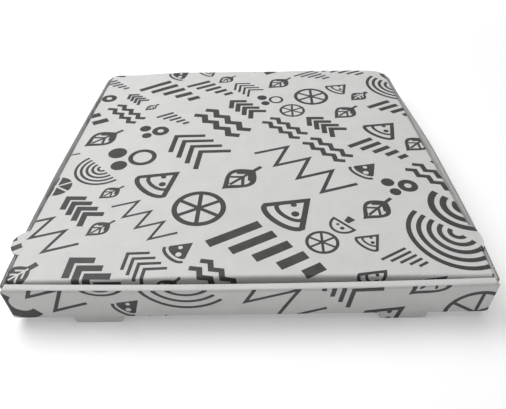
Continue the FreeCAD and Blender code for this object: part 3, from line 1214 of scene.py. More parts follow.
@dataclass
class Tray:
    """The open tray: bottom, side walls with end flaps, rear wall, and a front rolled over on two feet."""

    sizes: BoxSizes
    settling: Settling
    seam_height: float
    grid: float = 9.0
    wall_grid: float = 5.0
    slot: float = 0.15
    ear_lap: float = 1.0
    strip_bleed: float = 0.55
    flap_bleed: float = 1.5

    def __post_init__(self) -> None:
        """Works out the paths that the panels follow."""
        sizes = self.sizes
        radius = sizes.fold_outer
        wall = sizes.wall_top - sizes.foot_drop - radius
        inner = sizes.front_height - sizes.board - sizes.layer_gap - radius
        self.tab_length = sizes.board + sizes.layer_gap + sizes.tab_drop
        self.front = FoldPath(
            (-sizes.panel_half_v, sizes.foot_drop),
            180,
            [0, sizes.front_height - 2 * radius, sizes.strip_depth - 2 * radius, inner + self.tab_length],
            [-QUARTER, -QUARTER, -QUARTER],
            radius,
            1,
        )
        self.wall = FoldPath((sizes.panel_half_v, sizes.foot_drop), 0, [0, wall], [QUARTER], radius, -1)
        self.side = FoldPath((sizes.panel_half_u, sizes.foot_drop), 0, [0, wall], [QUARTER], radius, -1)
        self.flap_start = sizes.side_end - radius
        self.flap = FoldPath(
            (sizes.half_width, self.flap_start), QUARTER, [0, sizes.front_flap_length], [QUARTER], radius, -1
        )
        self.foot_top = -sizes.panel_half_v - sizes.fold_length
        self.foot_tip = self.foot_top + radius + sizes.foot_drop
        self.split = (sizes.half_width + sizes.panel_half_u + sizes.fold_length) / 2
        self.print_end = -sizes.panel_half_v - self.front.bends[1][0] - sizes.fold_length * self.strip_bleed

    def outline(self) -> np.ndarray:
        """The cut outline of the tray's blank.

        Returns:
            Its points as rows of two.
        """
        sizes = self.sizes
        half_u, half_v, fold = sizes.panel_half_u, sizes.panel_half_v, sizes.fold_length
        radius = sizes.fold_outer
        ear = sizes.half_width - sizes.end_gap
        roll_end = self.front.length - self.tab_length
        ear_end = -half_v - self.front.bends[1][0] - self.ear_lap
        post = half_u + fold
        wall_edge = half_u + self.side.length
        front_post = post + sizes.front_height - radius
        front_flap = front_post - sizes.board - sizes.end_gap
        rear_flap = wall_edge - sizes.board - sizes.end_gap
        front_tip = -self.flap_start - fold - (sizes.front_flap_length - radius)
        rear_tip = self.flap_start + fold + sizes.rear_flap_length - radius
        tab_near = sizes.foot_from_middle + sizes.tab_side_gap
        tab_far = sizes.foot_from_middle + sizes.foot_width - sizes.tab_side_gap
        seam = half_v + fold + self.seam_height - sizes.foot_drop - radius
        front = [
            Corner(tab_near, -half_v - roll_end),
            Corner(tab_near, -half_v - self.front.length, sizes.tab_corner),
            Corner(tab_far, -half_v - self.front.length, sizes.tab_corner),
            Corner(tab_far, -half_v - roll_end),
            Corner(sizes.front_half_u, -half_v - roll_end),
            Corner(sizes.front_half_u, ear_end),
            Corner(ear, ear_end),
            Corner(ear, -half_v - fold),
            Corner(sizes.front_half_u, -half_v - fold),
            Corner(sizes.front_half_u, -half_v),
            Corner(half_u, -half_v),
            Corner(half_u, -self.flap_start),
        ]
        side = [
            Corner(post, -self.flap_start),
            Corner(post, front_tip, sizes.flap_corner),
            Corner(front_flap, front_tip, sizes.flap_corner),
            Corner(front_flap, -self.flap_start - fold),
            Corner(front_post, -self.flap_start - fold),
            Corner(front_post, -self.flap_start),
            Corner(wall_edge, -self.flap_start),
            Corner(wall_edge, self.flap_start + fold),
            Corner(rear_flap, self.flap_start + fold),
            Corner(rear_flap, rear_tip, sizes.flap_corner),
            Corner(post, rear_tip, sizes.flap_corner),
            Corner(post, self.flap_start),
            Corner(half_u, self.flap_start),
        ]
        rear = [
            Corner(half_u, half_v),
            Corner(sizes.front_half_u, half_v),
            Corner(sizes.front_half_u, half_v + fold),
            Corner(ear, half_v + fold),
            Corner(ear, half_v + self.wall.length),
            Corner(sizes.lid_half - radius, half_v + self.wall.length),
            Corner(sizes.lid_half - radius, seam),
        ]
        return rounded(mirrored(front + side + rear))

    def foot_slot(self, side: int) -> np.ndarray:
        """The cut round a foot, and the hole that it leaves for the locking tab.

        Args:
            side: -1 for the left foot, 1 for the right one.

        Returns:
            The cut's points as rows of two.
        """
        sizes = self.sizes
        near, far = sizes.foot_from_middle, sizes.foot_from_middle + sizes.foot_width
        hole_end = -sizes.half_depth + sizes.board + sizes.foot_drop
        corners = [
            Corner(near - self.slot, self.foot_top),
            Corner(near, self.foot_top),
            Corner(near, self.foot_tip, sizes.foot_corner),
            Corner(far, self.foot_tip, sizes.foot_corner),
            Corner(far, self.foot_top),
            Corner(far + self.slot, self.foot_top),
            Corner(far + self.slot, hole_end),
            Corner(near - self.slot, hole_end),
        ]
        return rounded([Corner(side * c.u, c.v, c.radius) for c in corners])

    def _in_foot(self, flat: np.ndarray, margin: float, slip: float) -> np.ndarray:
        """Which points of the tray's blank belong to a foot.

        Args:
            flat: The points.
            margin: How far a foot counts as wider at each side.
            slip: How far it counts as longer.

        Returns:
            One truth value a point.
        """
        sizes = self.sizes
        u, v = np.abs(flat[:, 0]), flat[:, 1]
        near, far = sizes.foot_from_middle - margin, sizes.foot_from_middle + sizes.foot_width + margin
        return (u > near) & (u < far) & (v > self.foot_top) & (v < self.foot_tip + slip)

    def fold(self, flat: np.ndarray) -> tuple[np.ndarray, np.ndarray]:
        """Folds the tray.

        Args:
            flat: Points of its blank.

        Returns:
            Where they lie on the printed face of the folded box, and its normals there.
        """
        sizes = self.sizes
        u, v = flat.T
        points = np.stack([u, v, np.full(len(u), sizes.foot_drop)], 1)
        normals = np.tile((0.0, 0.0, -1.0), (len(u), 1))
        in_middle = np.abs(u) < self.split
        for path, chosen, along in (
            (self.front, in_middle & (v < -sizes.panel_half_v), -v - sizes.panel_half_v),
            (self.wall, in_middle & (v > sizes.panel_half_v), v - sizes.panel_half_v),
        ):
            points[chosen, 1:], normals[chosen, 1:] = path.at(along[chosen])
        foot = self._in_foot(flat, self.slot / 2, 10 * SLIP)
        points[foot, 1] = -sizes.half_depth
        points[foot, 2] = sizes.foot_drop + sizes.fold_outer - (v[foot] - self.foot_top)
        normals[foot] = (0.0, -1.0, 0.0)
        side = (np.abs(u) > sizes.panel_half_u) & ~(in_middle & (np.abs(v) > self.flap_start + SLIP))
        section, outward = self.side.at(np.abs(u[side]) - sizes.panel_half_u)
        sign = np.sign(u[side])
        points[side, 0], points[side, 2] = sign * section[:, 0], section[:, 1]
        normals[side, 0], normals[side, 2] = sign * outward[:, 0], outward[:, 1]
        normals[side, 1] = 0
        flap = side & (np.abs(v) > self.flap_start)
        plan, outward = self.flap.at(np.abs(v[flap]) - self.flap_start)
        signs = np.sign(flat[flap])
        points[flap, :2] = signs * plan
        normals[flap, :2] = signs * outward
        normals[flap, 2] = 0
        return points, normals

    def printed(self, flat: np.ndarray) -> np.ndarray:
        """Which points may carry print: the outer faces of the walls and the feet.

        Args:
            flat: Points of the tray's blank.

        Returns:
            One truth value a point; the bottom, the top strip and the inside stay bare.
        """
        sizes = self.sizes
        u, v = flat.T
        bottom_fold = sizes.fold_length / 2
        in_middle = np.abs(u) < self.split
        front = in_middle & (v < -sizes.panel_half_v - bottom_fold) & (v > self.print_end)
        rear = in_middle & (v > sizes.panel_half_v + bottom_fold)
        side = ~in_middle & (np.abs(u) > sizes.panel_half_u + bottom_fold)
        side &= np.abs(v) < self.flap_start + self.flap_bleed
        return front | self._in_foot(flat, 0, 0) | rear | side

    def blank(self, sheet_turn: float) -> Blank:
        """The tray's blank.

        Args:
            sheet_turn: The v of the whole sheet's print at this blank's v of zero; the two run opposite ways.

        Returns:
            The blank, ready to be meshed.
        """
        sizes = self.sizes
        half_u, half_v, fold = sizes.panel_half_u, sizes.panel_half_v, sizes.fold_length
        front, step = self.front, self.wall_grid
        u_lines = spread(-half_u, half_u, self.grid)
        for side in (-1, 1):
            u_lines += [side * (half_u + s) for s in self.side.lines()]
            u_lines += [side * u for u in spread(half_u + fold, half_u + self.side.length, step)]
        v_lines = spread(-half_v, half_v, self.grid)
        v_lines += [-half_v - s for s in front.lines()] + [half_v + s for s in self.wall.lines()]
        v_lines += [side * (self.flap_start + s) for s in self.flap.lines() for side in (-1, 1)]
        v_lines += [-half_v - s for s in spread(fold, front.bends[1][0], step)]
        v_lines += spread(-half_v - front.length, -half_v - front.bends[2][1], step)
        v_lines += spread(half_v + fold, half_v + self.wall.length, step)
        v_lines += [self.print_end]
        creases = [(0, half_u, half_u + fold), (1, half_v, half_v + fold)]
        creases += [(1, -half_v - high, -half_v - low) for low, high in front.bends]
        return Blank(
            "tray_board",
            self.outline(),
            [self.foot_slot(-1), self.foot_slot(1)],
            u_lines,
            v_lines,
            False,
            self.fold,
            self.printed,
            (-1.0, sheet_turn),
            self.settling.tray,
            creases,
        )


@dataclass
class Lid:
    """The lid: panel, front flap that tucks in, side flaps, and the half-round tabs cut out of these."""

    sizes: BoxSizes
    settling: Settling
    seam: float
    grid: float = 9.0
    flap_grid: float = 6.0
    seam_supports: tuple[float, ...] = (2.0, 4.5, 7.0)
    slot: float = 0.12

    def __post_init__(self) -> None:
        """Works out the paths that the flaps follow, and the half-round tabs."""
        sizes = self.sizes
        radius = sizes.fold_outer
        turn = QUARTER + sizes.tuck_lean
        tangent = radius * math.tan(math.radians(turn / 2))
        self.tuck_start = sizes.lid_front + tangent
        tuck = [0, sizes.tuck_depth - tangent]
        self.tuck = FoldPath((self.tuck_start, sizes.lid_top), 180, tuck, [turn], radius, -1)
        self.half_u = sizes.lid_half - radius
        side = [0, sizes.side_flap_depth - radius]
        self.side = FoldPath((self.half_u, sizes.lid_top), 0, side, [-QUARTER], radius, 1)
        reach = sizes.half_moon_out - sizes.lid_half
        half = sizes.half_moon_length / 2
        self.moon_radius = (half**2 + reach**2) / (2 * reach)
        self.moon_u = sizes.half_moon_out - self.moon_radius

    def outline(self) -> np.ndarray:
        """The cut outline of the lid's blank.

        Returns:
            Its points as rows of two.
        """
        sizes = self.sizes
        front = sizes.lid_front + sizes.side_flap_end_gap
        rear = sizes.side_end - sizes.board - sizes.side_flap_end_gap
        edge = self.half_u + self.side.length
        corners = [
            Corner(self.half_u, self.tuck_start - self.tuck.length, sizes.tuck_corner),
            Corner(self.half_u, front),
            Corner(edge, front, sizes.side_flap_corner),
            Corner(edge, rear, sizes.side_flap_corner),
            Corner(self.half_u, rear),
            Corner(self.half_u, self.seam),
        ]
        return rounded(mirrored(corners), 10)

    def moon_cut(self, side: int) -> np.ndarray:
        """The thin cut that frees a half-round tab from the side flap.

        Args:
            side: -1 for the left tab, 1 for the right one.

        Returns:
            The cut's points as rows of two.
        """
        middle = self.sizes.half_moon_middle
        open_angle = math.acos((self.half_u - self.moon_u) / self.moon_radius)
        angles = np.linspace(-open_angle, open_angle, 33)
        points = []
        for radius, order in ((self.moon_radius + self.slot, 1), (self.moon_radius - self.slot, -1)):
            for angle in angles[::order]:
                u = self.moon_u + radius * math.cos(angle)
                points.append((max(u, self.half_u), middle + radius * math.sin(angle)))
        return np.array(points) * np.array([side, 1.0])

    def fold(self, flat: np.ndarray) -> tuple[np.ndarray, np.ndarray]:
        """Folds the lid.

        Args:
            flat: Points of its blank.

        Returns:
            Where they lie on the printed face of the folded box, and its normals there.
        """
        sizes = self.sizes
        u, v = flat.T
        points = np.stack([u, v, np.full(len(u), sizes.lid_top)], 1)
        normals = np.tile((0.0, 0.0, 1.0), (len(u), 1))
        tuck = (v < self.tuck_start) & (np.abs(u) <= self.half_u + SLIP)
        points[tuck, 1:], normals[tuck, 1:] = self.tuck.at(self.tuck_start - v[tuck])
        off_moon = (np.abs(u) - self.moon_u) ** 2 + (v - sizes.half_moon_middle) ** 2 > self.moon_radius**2
        side = (np.abs(u) > self.half_u) & off_moon & ~tuck
        section, outward = self.side.at(np.abs(u[side]) - self.half_u)
        sign = np.sign(u[side])
        points[side, 0], points[side, 2] = sign * section[:, 0], section[:, 1]
        normals[side, 0], normals[side, 2] = sign * outward[:, 0], outward[:, 1]
        return points, normals

    def printed(self, flat: np.ndarray) -> np.ndarray:
        """The whole outer face of the lid."""
        return np.ones(len(flat), bool)

    def blank(self) -> Blank:
        """The lid's blank, whose v is also that of the whole sheet's print.

        Returns:
            The blank, ready to be meshed.
        """
        fold, step = self.sizes.fold_length, self.flap_grid
        u_lines = spread(-self.half_u, self.half_u, self.grid)
        for side in (-1, 1):
            u_lines += [side * (self.half_u + s) for s in self.side.lines()]
            u_lines += [side * u for u in spread(self.half_u + fold, self.half_u + self.side.length, step)]
        v_lines = spread(self.tuck_start, self.seam, self.grid)
        v_lines += [self.tuck_start - s for s in self.tuck.lines()]
        v_lines += spread(self.tuck_start - self.tuck.length, self.tuck_start - fold, step)
        v_lines += [self.seam - support for support in self.seam_supports]
        creases = [(0, self.half_u, self.half_u + fold), (1, self.tuck_start - fold, self.tuck_start)]
        return Blank(
            "lid_board",
            self.outline(),
            [self.moon_cut(-1), self.moon_cut(1)],
            u_lines,
            v_lines,
            True,
            self.fold,
            self.printed,
            (1.0, 0.0),
            self.settling.lid,
            creases,
        )


@dataclass
class HingeFold:
    """The folded board between the rear wall and the lid, built as one fixed piece that belongs to neither
    body.
    """

    sizes: BoxSizes
    settling: Settling
    seam: float
    seam_height: float
    grid: float = 9.0
    wall_grid: float = 1.5
    lid_grid: float = 1.2

    def __post_init__(self) -> None:
        """Works out the path over the fold, and where its inner face starts and ends."""
        sizes = self.sizes
        start = (sizes.half_depth, self.seam_height)
        runs = [sizes.lid_top - sizes.fold_outer - self.seam_height, sizes.panel_half_v - self.seam]
        self.path = FoldPath(start, QUARTER, runs, [QUARTER], sizes.fold_outer, -1)
        self.half_u = sizes.lid_half - sizes.fold_outer
        self.low = (sizes.half_depth - sizes.board, self.seam_height)
        self.high = (self.seam, sizes.lid_top - sizes.board)

    def fold(self, flat: np.ndarray) -> tuple[np.ndarray, np.ndarray]:
        """Folds the strip.

        Args:
            flat: Points of its blank.

        Returns:
            Where they lie on the printed face of the folded box, and its normals there.
        """
        section, outward = self.path.at(flat[:, 1])
        across = flat[:, :1]
        return np.hstack([across, section]), np.hstack([np.zeros_like(across), outward])

    def settle(self, points: np.ndarray) -> np.ndarray:
        """Goes over from the tray's settling to the lid's across the fold.

        Args:
            points: Points of the folded strip as rows of three.

        Returns:
            The shifted points.
        """
        low, span = np.array(self.low), np.array(self.high) - np.array(self.low)
        share = eased(0, 1, (points[:, 1:] - low) @ span / (span @ span))[:, None]
        return (1 - share) * self.settling.tray(points) + share * self.settling.lid(points)

    def printed(self, flat: np.ndarray) -> np.ndarray:
        """The whole outer face of the strip."""
        return np.ones(len(flat), bool)

    def blank(self) -> Blank:
        """The strip's blank, whose v runs from the rear wall over to the lid.

        Returns:
            The blank, ready to be meshed.
        """
        end, (bend_low, bend_high) = self.path.length, self.path.bends[0]
        v_lines = self.path.lines() + spread(0, bend_low, self.wall_grid)
        v_lines += spread(bend_high, end, self.lid_grid)
        return Blank(
            "hinge_fold_board",
            rounded(mirrored([Corner(self.half_u, 0), Corner(self.half_u, end)])),
            [],
            spread(-self.half_u, self.half_u, self.grid),
            v_lines,
            False,
            self.fold,
            self.printed,
            (-1.0, self.seam + end),
            self.settle,
            [(1, bend_low, bend_high)],
        )

    def sheet_turn(self) -> float:
        """The v of the whole sheet's print at the middle of the tray's bottom.

        Returns:
            That v in millimetres.
        """
        sizes = self.sizes
        wall = self.seam_height - sizes.foot_drop - sizes.fold_outer
        return self.seam + self.path.length + wall + sizes.fold_length + sizes.panel_half_v


def add_node(
    tree: bpy.types.NodeTree, kind: str, settings: dict[str, object], inputs: dict[str | int, object]
) -> bpy.types.Node:
    """Adds a node to a tree.

    Args:
        tree: The tree.
        kind: The node's type.
        settings: Attributes of the node, set before its sockets.
        inputs: Values for its input sockets, or the output sockets that feed them.

    Returns:
        The node.
    """
    node = tree.nodes.new(kind)
    for key, value in settings.items():
        setattr(node, key, value)
    for key, value in inputs.items():
        if isinstance(value, bpy.types.NodeSocket):
            tree.links.new(value, node.inputs[key])
        else:
            node.inputs[key].default_value = value
    return node


@dataclass
class Flutes:
    """The wavy paper between the liners, seen where a cut runs across the flutes.

    A Geometry Nodes tree makes one wave of it and sets it on every flute along the cuts.

    Cuts that cross the flutes at a lower sine than the steepest show no waves. Neither do places where a fold
    stretches the board by more than the bend limit.
    """

    sizes: BoxSizes
    mesher: BoardMesher
    pitch: float = 3.4
    paper: float = 0.16
    steps: int = 8
    recess: float = 0.04
    steepest: float = 0.5
    shortest: float = 1e-6
    bend_limit: float = 0.1

    @property
    def depth(self) -> float:
        """How far the waves reach into the board."""
        return self.mesher.groove - self.recess

    def stations(self, blank: Blank) -> tuple[np.ndarray, np.ndarray, np.ndarray, np.ndarray]:
        """Where a blank's cuts cross its flutes.

        Args:
            blank: The blank.

        Returns:
            Places, directions along the cut and through the board, and how far each wave is drawn out.
        """
        flat, inward, along, stretch = [], [], [], []
        for loop, hole in [(blank.outline, False), *((slot, True) for slot in blank.slots)]:
            ordered = loop if (area(loop) > 0) != hole else loop[::-1]
            for start, end in zip(ordered, np.roll(ordered, -1, axis=0)):
                step = end - start
                length = float(np.hypot(*step))
                if length < self.shortest or abs(step[1]) / length < self.steepest:
                    continue
                low, high = sorted((start[1], end[1]))
                for crest in range(math.ceil(low / self.pitch), math.floor(high / self.pitch) + 1):
                    flat.append(start + step * (crest * self.pitch - start[1]) / step[1])
                    inward.append(np.array([-step[1], step[0]]) / length)
                    along.append(step / length)
                    stretch.append(length / abs(step[1]))
        deep = np.array(flat) + np.array(inward) * (self.recess + self.depth / 2)
        nudge = np.array(along) * (self.pitch / 4)
        middle = self.sizes.board / 2
        ahead = blank.on_box(deep + nudge, middle) - blank.on_box(deep - nudge, middle)
        through = blank.on_box(deep, 0.0) - blank.on_box(deep, self.sizes.board)
        kept = np.abs(np.linalg.norm(ahead, axis=1) / (self.pitch / 2) - 1) < self.bend_limit
        for tip in (deep - 2 * nudge, deep + 2 * nudge):
            kept &= inside(tip, blank.outline) & ~np.any([inside(tip, slot) for slot in blank.slots], axis=0)
        return blank.on_box(deep, middle)[kept], ahead[kept], through[kept], np.array(stretch)[kept]

    def tree(self, paper: bpy.types.Material) -> bpy.types.NodeTree:
        """The Geometry Nodes tree that turns stations into waves of paper.

        Args:
            paper: The waves' material.

        Returns:
            The tree, whose inputs are the sizes of one wave.
        """
        tree = bpy.data.node_groups.new("flute_waves", "GeometryNodeTree")
        tree.interface.new_socket("Stations", in_out="INPUT", socket_type="NodeSocketGeometry")
        for name in ("Pitch", "Height", "Depth", "Paper"):
            tree.interface.new_socket(name, in_out="INPUT", socket_type="NodeSocketFloat")
        tree.interface.new_socket("Waves", in_out="OUTPUT", socket_type="NodeSocketGeometry")

        def node(kind: str, inputs: dict[str | int, object], **settings: object) -> bpy.types.NodeSocket:
            """The first output of a new node."""
            return add_node(tree, kind, settings, inputs).outputs[0]

        def maths(operation: str, first: object, second: object = 0.0) -> bpy.types.NodeSocket:
            """The result of a new Math node."""
            return node("ShaderNodeMath", {0: first, 1: second}, operation=operation)

        def stored(name: str, kind: str) -> bpy.types.NodeSocket:
            """A stored value of each station."""
            return node("GeometryNodeInputNamedAttribute", {"Name": name}, data_type=kind)

        given = tree.nodes.new("NodeGroupInput").outputs
        share = maths("DIVIDE", node("GeometryNodeInputIndex", {}), float(self.steps))
        run = maths("MULTIPLY", maths("SUBTRACT", share, 0.5), given["Pitch"])
        turn = maths("SINE", maths("MULTIPLY", share, 2 * math.pi))
        rise = maths("MULTIPLY", turn, maths("DIVIDE", given["Height"], 2.0))
        place = node("ShaderNodeCombineXYZ", {"X": run, "Z": rise})
        line = node("GeometryNodeMeshLine", {"Count": self.steps + 1})
        curve = node("GeometryNodeMeshToCurve", {"Mesh": line})
        wave = node("GeometryNodeSetPosition", {"Geometry": curve, "Position": place})
        upright = node("GeometryNodeSetCurveNormal", {"Curve": wave}, mode="Z_UP")
        section = {"Width": given["Depth"], "Height": given["Paper"]}
        profile = node("GeometryNodeCurvePrimitiveQuadrilateral", section)
        sweep = {"Curve": upright, "Profile Curve": profile, "Fill Caps": True}
        sheet = node("GeometryNodeCurveToMesh", sweep)
        along, through = stored("along", "FLOAT_VECTOR"), stored("through", "FLOAT_VECTOR")
        axes = {"Primary Axis": along, "Secondary Axis": through}
        turned = node("FunctionNodeAxesToRotation", axes, primary_axis="X", secondary_axis="Z")
        scale = node("ShaderNodeCombineXYZ", {"X": stored("stretch", "FLOAT"), "Y": 1.0, "Z": 1.0})
        places = node("GeometryNodeMeshToPoints", {"Mesh": given["Stations"]})
        copies = {"Points": places, "Instance": sheet, "Rotation": turned, "Scale": scale}
        waves = node("GeometryNodeInstanceOnPoints", copies)
        real = node("GeometryNodeRealizeInstances", {"Geometry": waves})
        dressed = node("GeometryNodeSetMaterial", {"Geometry": real, "Material": paper})
        tree.links.new(dressed, tree.nodes.new("NodeGroupOutput").inputs["Waves"])
        return tree

    def build(self, name: str, blank: Blank, paper: bpy.types.Material) -> bpy.types.Object:
        """Makes the waves of all cuts of a blank as one plain mesh.

        Args:
            name: The piece's name.
            blank: The blank.
            paper: The waves' material.

        Returns:
            The piece, linked to the scene.
        """
        places, along, through, stretch = self.stations(blank)
        mesh = bpy.data.meshes.new(name)
        mesh.from_pydata((places * MM).tolist(), [], [])
        for key, values in (("along", along), ("through", through)):
            rows = mesh.attributes.new(key, "FLOAT_VECTOR", "POINT").data
            rows.foreach_set("vector", values.astype(np.float32).ravel())
        mesh.attributes.new("stretch", "FLOAT", "POINT").data.foreach_set("value", stretch.astype(np.float32))
        piece = linked(bpy.data.objects.new(name, mesh))
        modifier = piece.modifiers.new("waves", "NODES")
        modifier.node_group = self.tree(paper)
        height = self.sizes.board - 2 * self.mesher.liner - self.paper
        lengths = {"Pitch": self.pitch, "Height": height, "Depth": self.depth, "Paper": self.paper}
        for item in modifier.node_group.interface.items_tree:
            if item.in_out == "INPUT" and item.name in lengths:
                modifier[item.identifier] = lengths[item.name] * MM
        graph = bpy.context.evaluated_depsgraph_get()
        piece.data = bpy.data.meshes.new_from_object(piece.evaluated_get(graph), depsgraph=graph)
        piece.modifiers.clear()
        piece.data.name = name
        LOG.info("%s: %d waves", name, len(places))
        return piece


class Term:
    """A value in a material's maths. Python operators on it add Math nodes."""

    def __init__(self, finish: FinishTree, socket: bpy.types.NodeSocket) -> None:
        """Wraps an output socket of a finish's node tree."""
        self.finish, self.socket = finish, socket

    def _with(self, operation: str, first: Term | float, second: Term | float) -> Term:
        """Adds a Math node on two values."""
        return self.finish.node("ShaderNodeMath", {"operation": operation}, {0: first, 1: second})

    def __add__(self, other: Term | float) -> Term:
        """Sum."""
        return self._with("ADD", self, other)

    def __sub__(self, other: Term | float) -> Term:
        """Difference."""
        return self._with("SUBTRACT", self, other)

    def __rsub__(self, other: Term | float) -> Term:
        """Difference from a number."""
        return self._with("SUBTRACT", other, self)

    def __mul__(self, other: Term | float) -> Term:
        """Product."""
        return self._with("MULTIPLY", self, other)

    __radd__ = __add__
    __rmul__ = __mul__

    def above(self, low: float, high: float) -> Term:
        """A smooth step from 0 at low to 1 at high."""
        limits = {"Value": self, "From Min": low, "From Max": high}
        return self.finish.node("ShaderNodeMapRange", {"interpolation_type": "SMOOTHSTEP"}, limits)


class FinishTree:
    """The node tree of one material."""

    def __init__(self, name: str) -> None:
        """Makes the material with a single Principled shader.

        Args:
            name: The material's name.
        """
        self.material = bpy.data.materials.new(name)
        self.material.use_nodes = True
        self.tree = self.material.node_tree
        self.tree.nodes.clear()
        self.shader = self.tree.nodes.new("ShaderNodeBsdfPrincipled")
        output = self.tree.nodes.new("ShaderNodeOutputMaterial")
        self.tree.links.new(self.shader.outputs[0], output.inputs[0])

    def node(
        self,
        kind: str,
        settings: dict[str, object] | None = None,
        inputs: dict[str | int, object] | None = None,
        output: str | int = 0,
    ) -> Term:
        """Adds a node.

        Args:
            kind: The node's type.
            settings: Attributes of the node, set before its sockets.
            inputs: Values or terms for its input sockets.
            output: Which output the result is.

        Returns:
            That output as a term.
        """
        given = {
            key: value.socket if isinstance(value, Term) else value for key, value in (inputs or {}).items()
        }
        return Term(self, add_node(self.tree, kind, settings or {}, given).outputs[output])

    def noise(
        self, size: float, stretch: tuple[float, float, float] = (1, 1, 1), detail: float = 2.0
    ) -> Term:
        """Noise on Object coordinates.

        Args:
            size: Size of its features in millimetres.
            stretch: Scale along each axis; features are drawn out where it is small.
            detail: How many finer noises are laid over it.

        Returns:
            The noise, about 0 to 1.
        """
        place = self.node("ShaderNodeTexCoord", output="Object")
        scaled = self.node("ShaderNodeMapping", {}, {"Vector": place, "Scale": stretch})
        values = {"Vector": scaled, "Scale": 1 / (size * MM), "Detail": detail}
        return self.node("ShaderNodeTexNoise", {}, values)

    def mix(self, share: Term | float, first: object, second: object) -> Term:
        """Goes from a first colour to a second."""
        return self.node("ShaderNodeMix", {"data_type": "RGBA"}, {0: share, 6: first, 7: second}, output=2)

    def drive(self, socket: str, value: Term | float) -> None:
        """Feeds one of the shader's sockets.

        Args:
            socket: The socket's name.
            value: What varies over the surface, or one value for all of it.
        """
        if isinstance(value, Term):
            self.tree.links.new(value.socket, self.shader.inputs[socket])
        else:
            self.shader.inputs[socket].default_value = value

    def bump(self, height: Term, distance: float, strength: float) -> None:
        """Gives the shader relief.

        Args:
            height: Heights from 0 to 1.
            distance: What a height of 1 stands for, in millimetres.
            strength: How strongly the relief shows.
        """
        values = {"Height": height, "Distance": distance * MM, "Strength": strength}
        self.drive("Normal", self.node("ShaderNodeBump", {}, values))


Colour = tuple[float, float, float]


def shaded(colour: Colour, share: float = 1.0) -> tuple[float, float, float, float]:
    """A share of a colour, as an opaque value for a socket."""
    return (*(channel * share for channel in colour), 1)


@dataclass(frozen=True)
class PaperFinish:
    """A white-lined face of the board: fibres, faint ridges over the flutes, and rubbed folds.

    Sizes are those of a pattern's features in millimetres.
    """

    name: str
    colour: Colour
    cloud: float = 0.05
    cloud_size: float = 17.0
    speckle_size: float = 1.3
    roughness: float = 0.62
    roughness_range: float = 0.12
    roughness_size: float = 3.0
    flute_pitch: float = 3.4
    ridge: float = 0.35
    ridge_patch_size: float = 26.0
    fibre: float = 0.5
    fibre_size: float = 0.5
    relief: float = 0.02
    relief_strength: float = 0.6
    rub: float = 0.6
    rub_size: float = 0.9
    rub_shade: float = 0.86

    def _relief(self, tree: FinishTree) -> Term:
        """Heights of the fibres, and of the ridges where the liner lies over the flutes.

        Args:
            tree: The finish's tree.

        Returns:
            The heights.
        """
        place = tree.node("ShaderNodeTexCoord", output="Object")
        along = tree.node("ShaderNodeSeparateXYZ", {}, {0: place}, output="Y")
        turns = along * (2 * math.pi / (self.flute_pitch * MM))
        wave = tree.node("ShaderNodeMath", {"operation": "SINE"}, {0: turns})
        patches = tree.noise(self.ridge_patch_size).above(0.35, 0.75)
        fibres = tree.noise(self.fibre_size, (0.35, 1, 1), 3.0)
        return fibres * self.fibre + wave * patches * self.ridge

    def _paper(self, tree: FinishTree) -> Term:
        """The liner's colour, cloudy at two scales.

        Args:
            tree: The finish's tree.

        Returns:
            The colour.
        """
        speckles = tree.noise(self.speckle_size, (0.4, 1, 1), 4.0)
        clouds = tree.noise(self.cloud_size, detail=3.0) * 0.6 + speckles * 0.4
        return tree.mix(clouds.above(0.2, 0.8), shaded(self.colour, 1 - 2 * self.cloud), shaded(self.colour))

    def _roughness(self, tree: FinishTree) -> Term:
        """Roughness that wanders about its mean."""
        return (tree.noise(self.roughness_size) - 0.5) * self.roughness_range + self.roughness

    def build(self) -> bpy.types.Material:
        """The finish as a material.

        Returns:
            The material.
        """
        tree = FinishTree(self.name)
        crease = tree.node("ShaderNodeAttribute", {"attribute_name": "crease"}, output="Fac")
        rubbed = crease.above(0.5, 1.0) * tree.noise(self.rub_size, detail=3.0).above(0.4, 0.62)
        worn = shaded(self.colour, self.rub_shade)
        tree.drive("Base Color", tree.mix(rubbed * self.rub, self._paper(tree), worn))
        tree.drive("Roughness", self._roughness(tree))
        tree.bump(self._relief(tree), self.relief, self.relief_strength)
        return tree.material


@dataclass(frozen=True)
class InkFinish(PaperFinish):
    """Dark ink on the liner: flecks where fibres stand up, and cracks and rubs at the folds."""

    ink: Colour = (0.05, 0.0495, 0.0475)
    gloss: float = 0.3
    roughness: float = 0.52
    roughness_range: float = 0.14
    roughness_size: float = 2.0
    relief_strength: float = 0.5
    fleck: float = 0.22
    fleck_size: float = 0.45
    crack: float = 0.14
    crack_size: float = 0.6
    wash: float = 1.35
    wash_size: float = 9.0

    def build(self) -> bpy.types.Material:
        """The finish as a material.

        Returns:
            The material.
        """
        tree = FinishTree(self.name)
        crease = tree.node("ShaderNodeAttribute", {"attribute_name": "crease"}, output="Fac")
        flecks = tree.noise(self.fleck_size, (0.4, 1, 1), 4.0).above(0.66, 0.8)
        cracked = crease.above(0.7, 1.0) * tree.noise(self.crack_size, (0.5, 1, 1), 4.0).above(0.58, 0.66)
        washes = tree.noise(self.wash_size, detail=3.0).above(0.25, 0.8)
        inked = tree.mix(washes, shaded(self.ink), shaded(self.ink, self.wash))
        bare = flecks * self.fleck + cracked * self.crack
        tree.drive("Base Color", tree.mix(bare, inked, self._paper(tree)))
        tree.drive("Roughness", self._roughness(tree))
        tree.drive("Specular IOR Level", self.gloss)
        tree.bump(self._relief(tree), self.relief, self.relief_strength)
        return tree.material


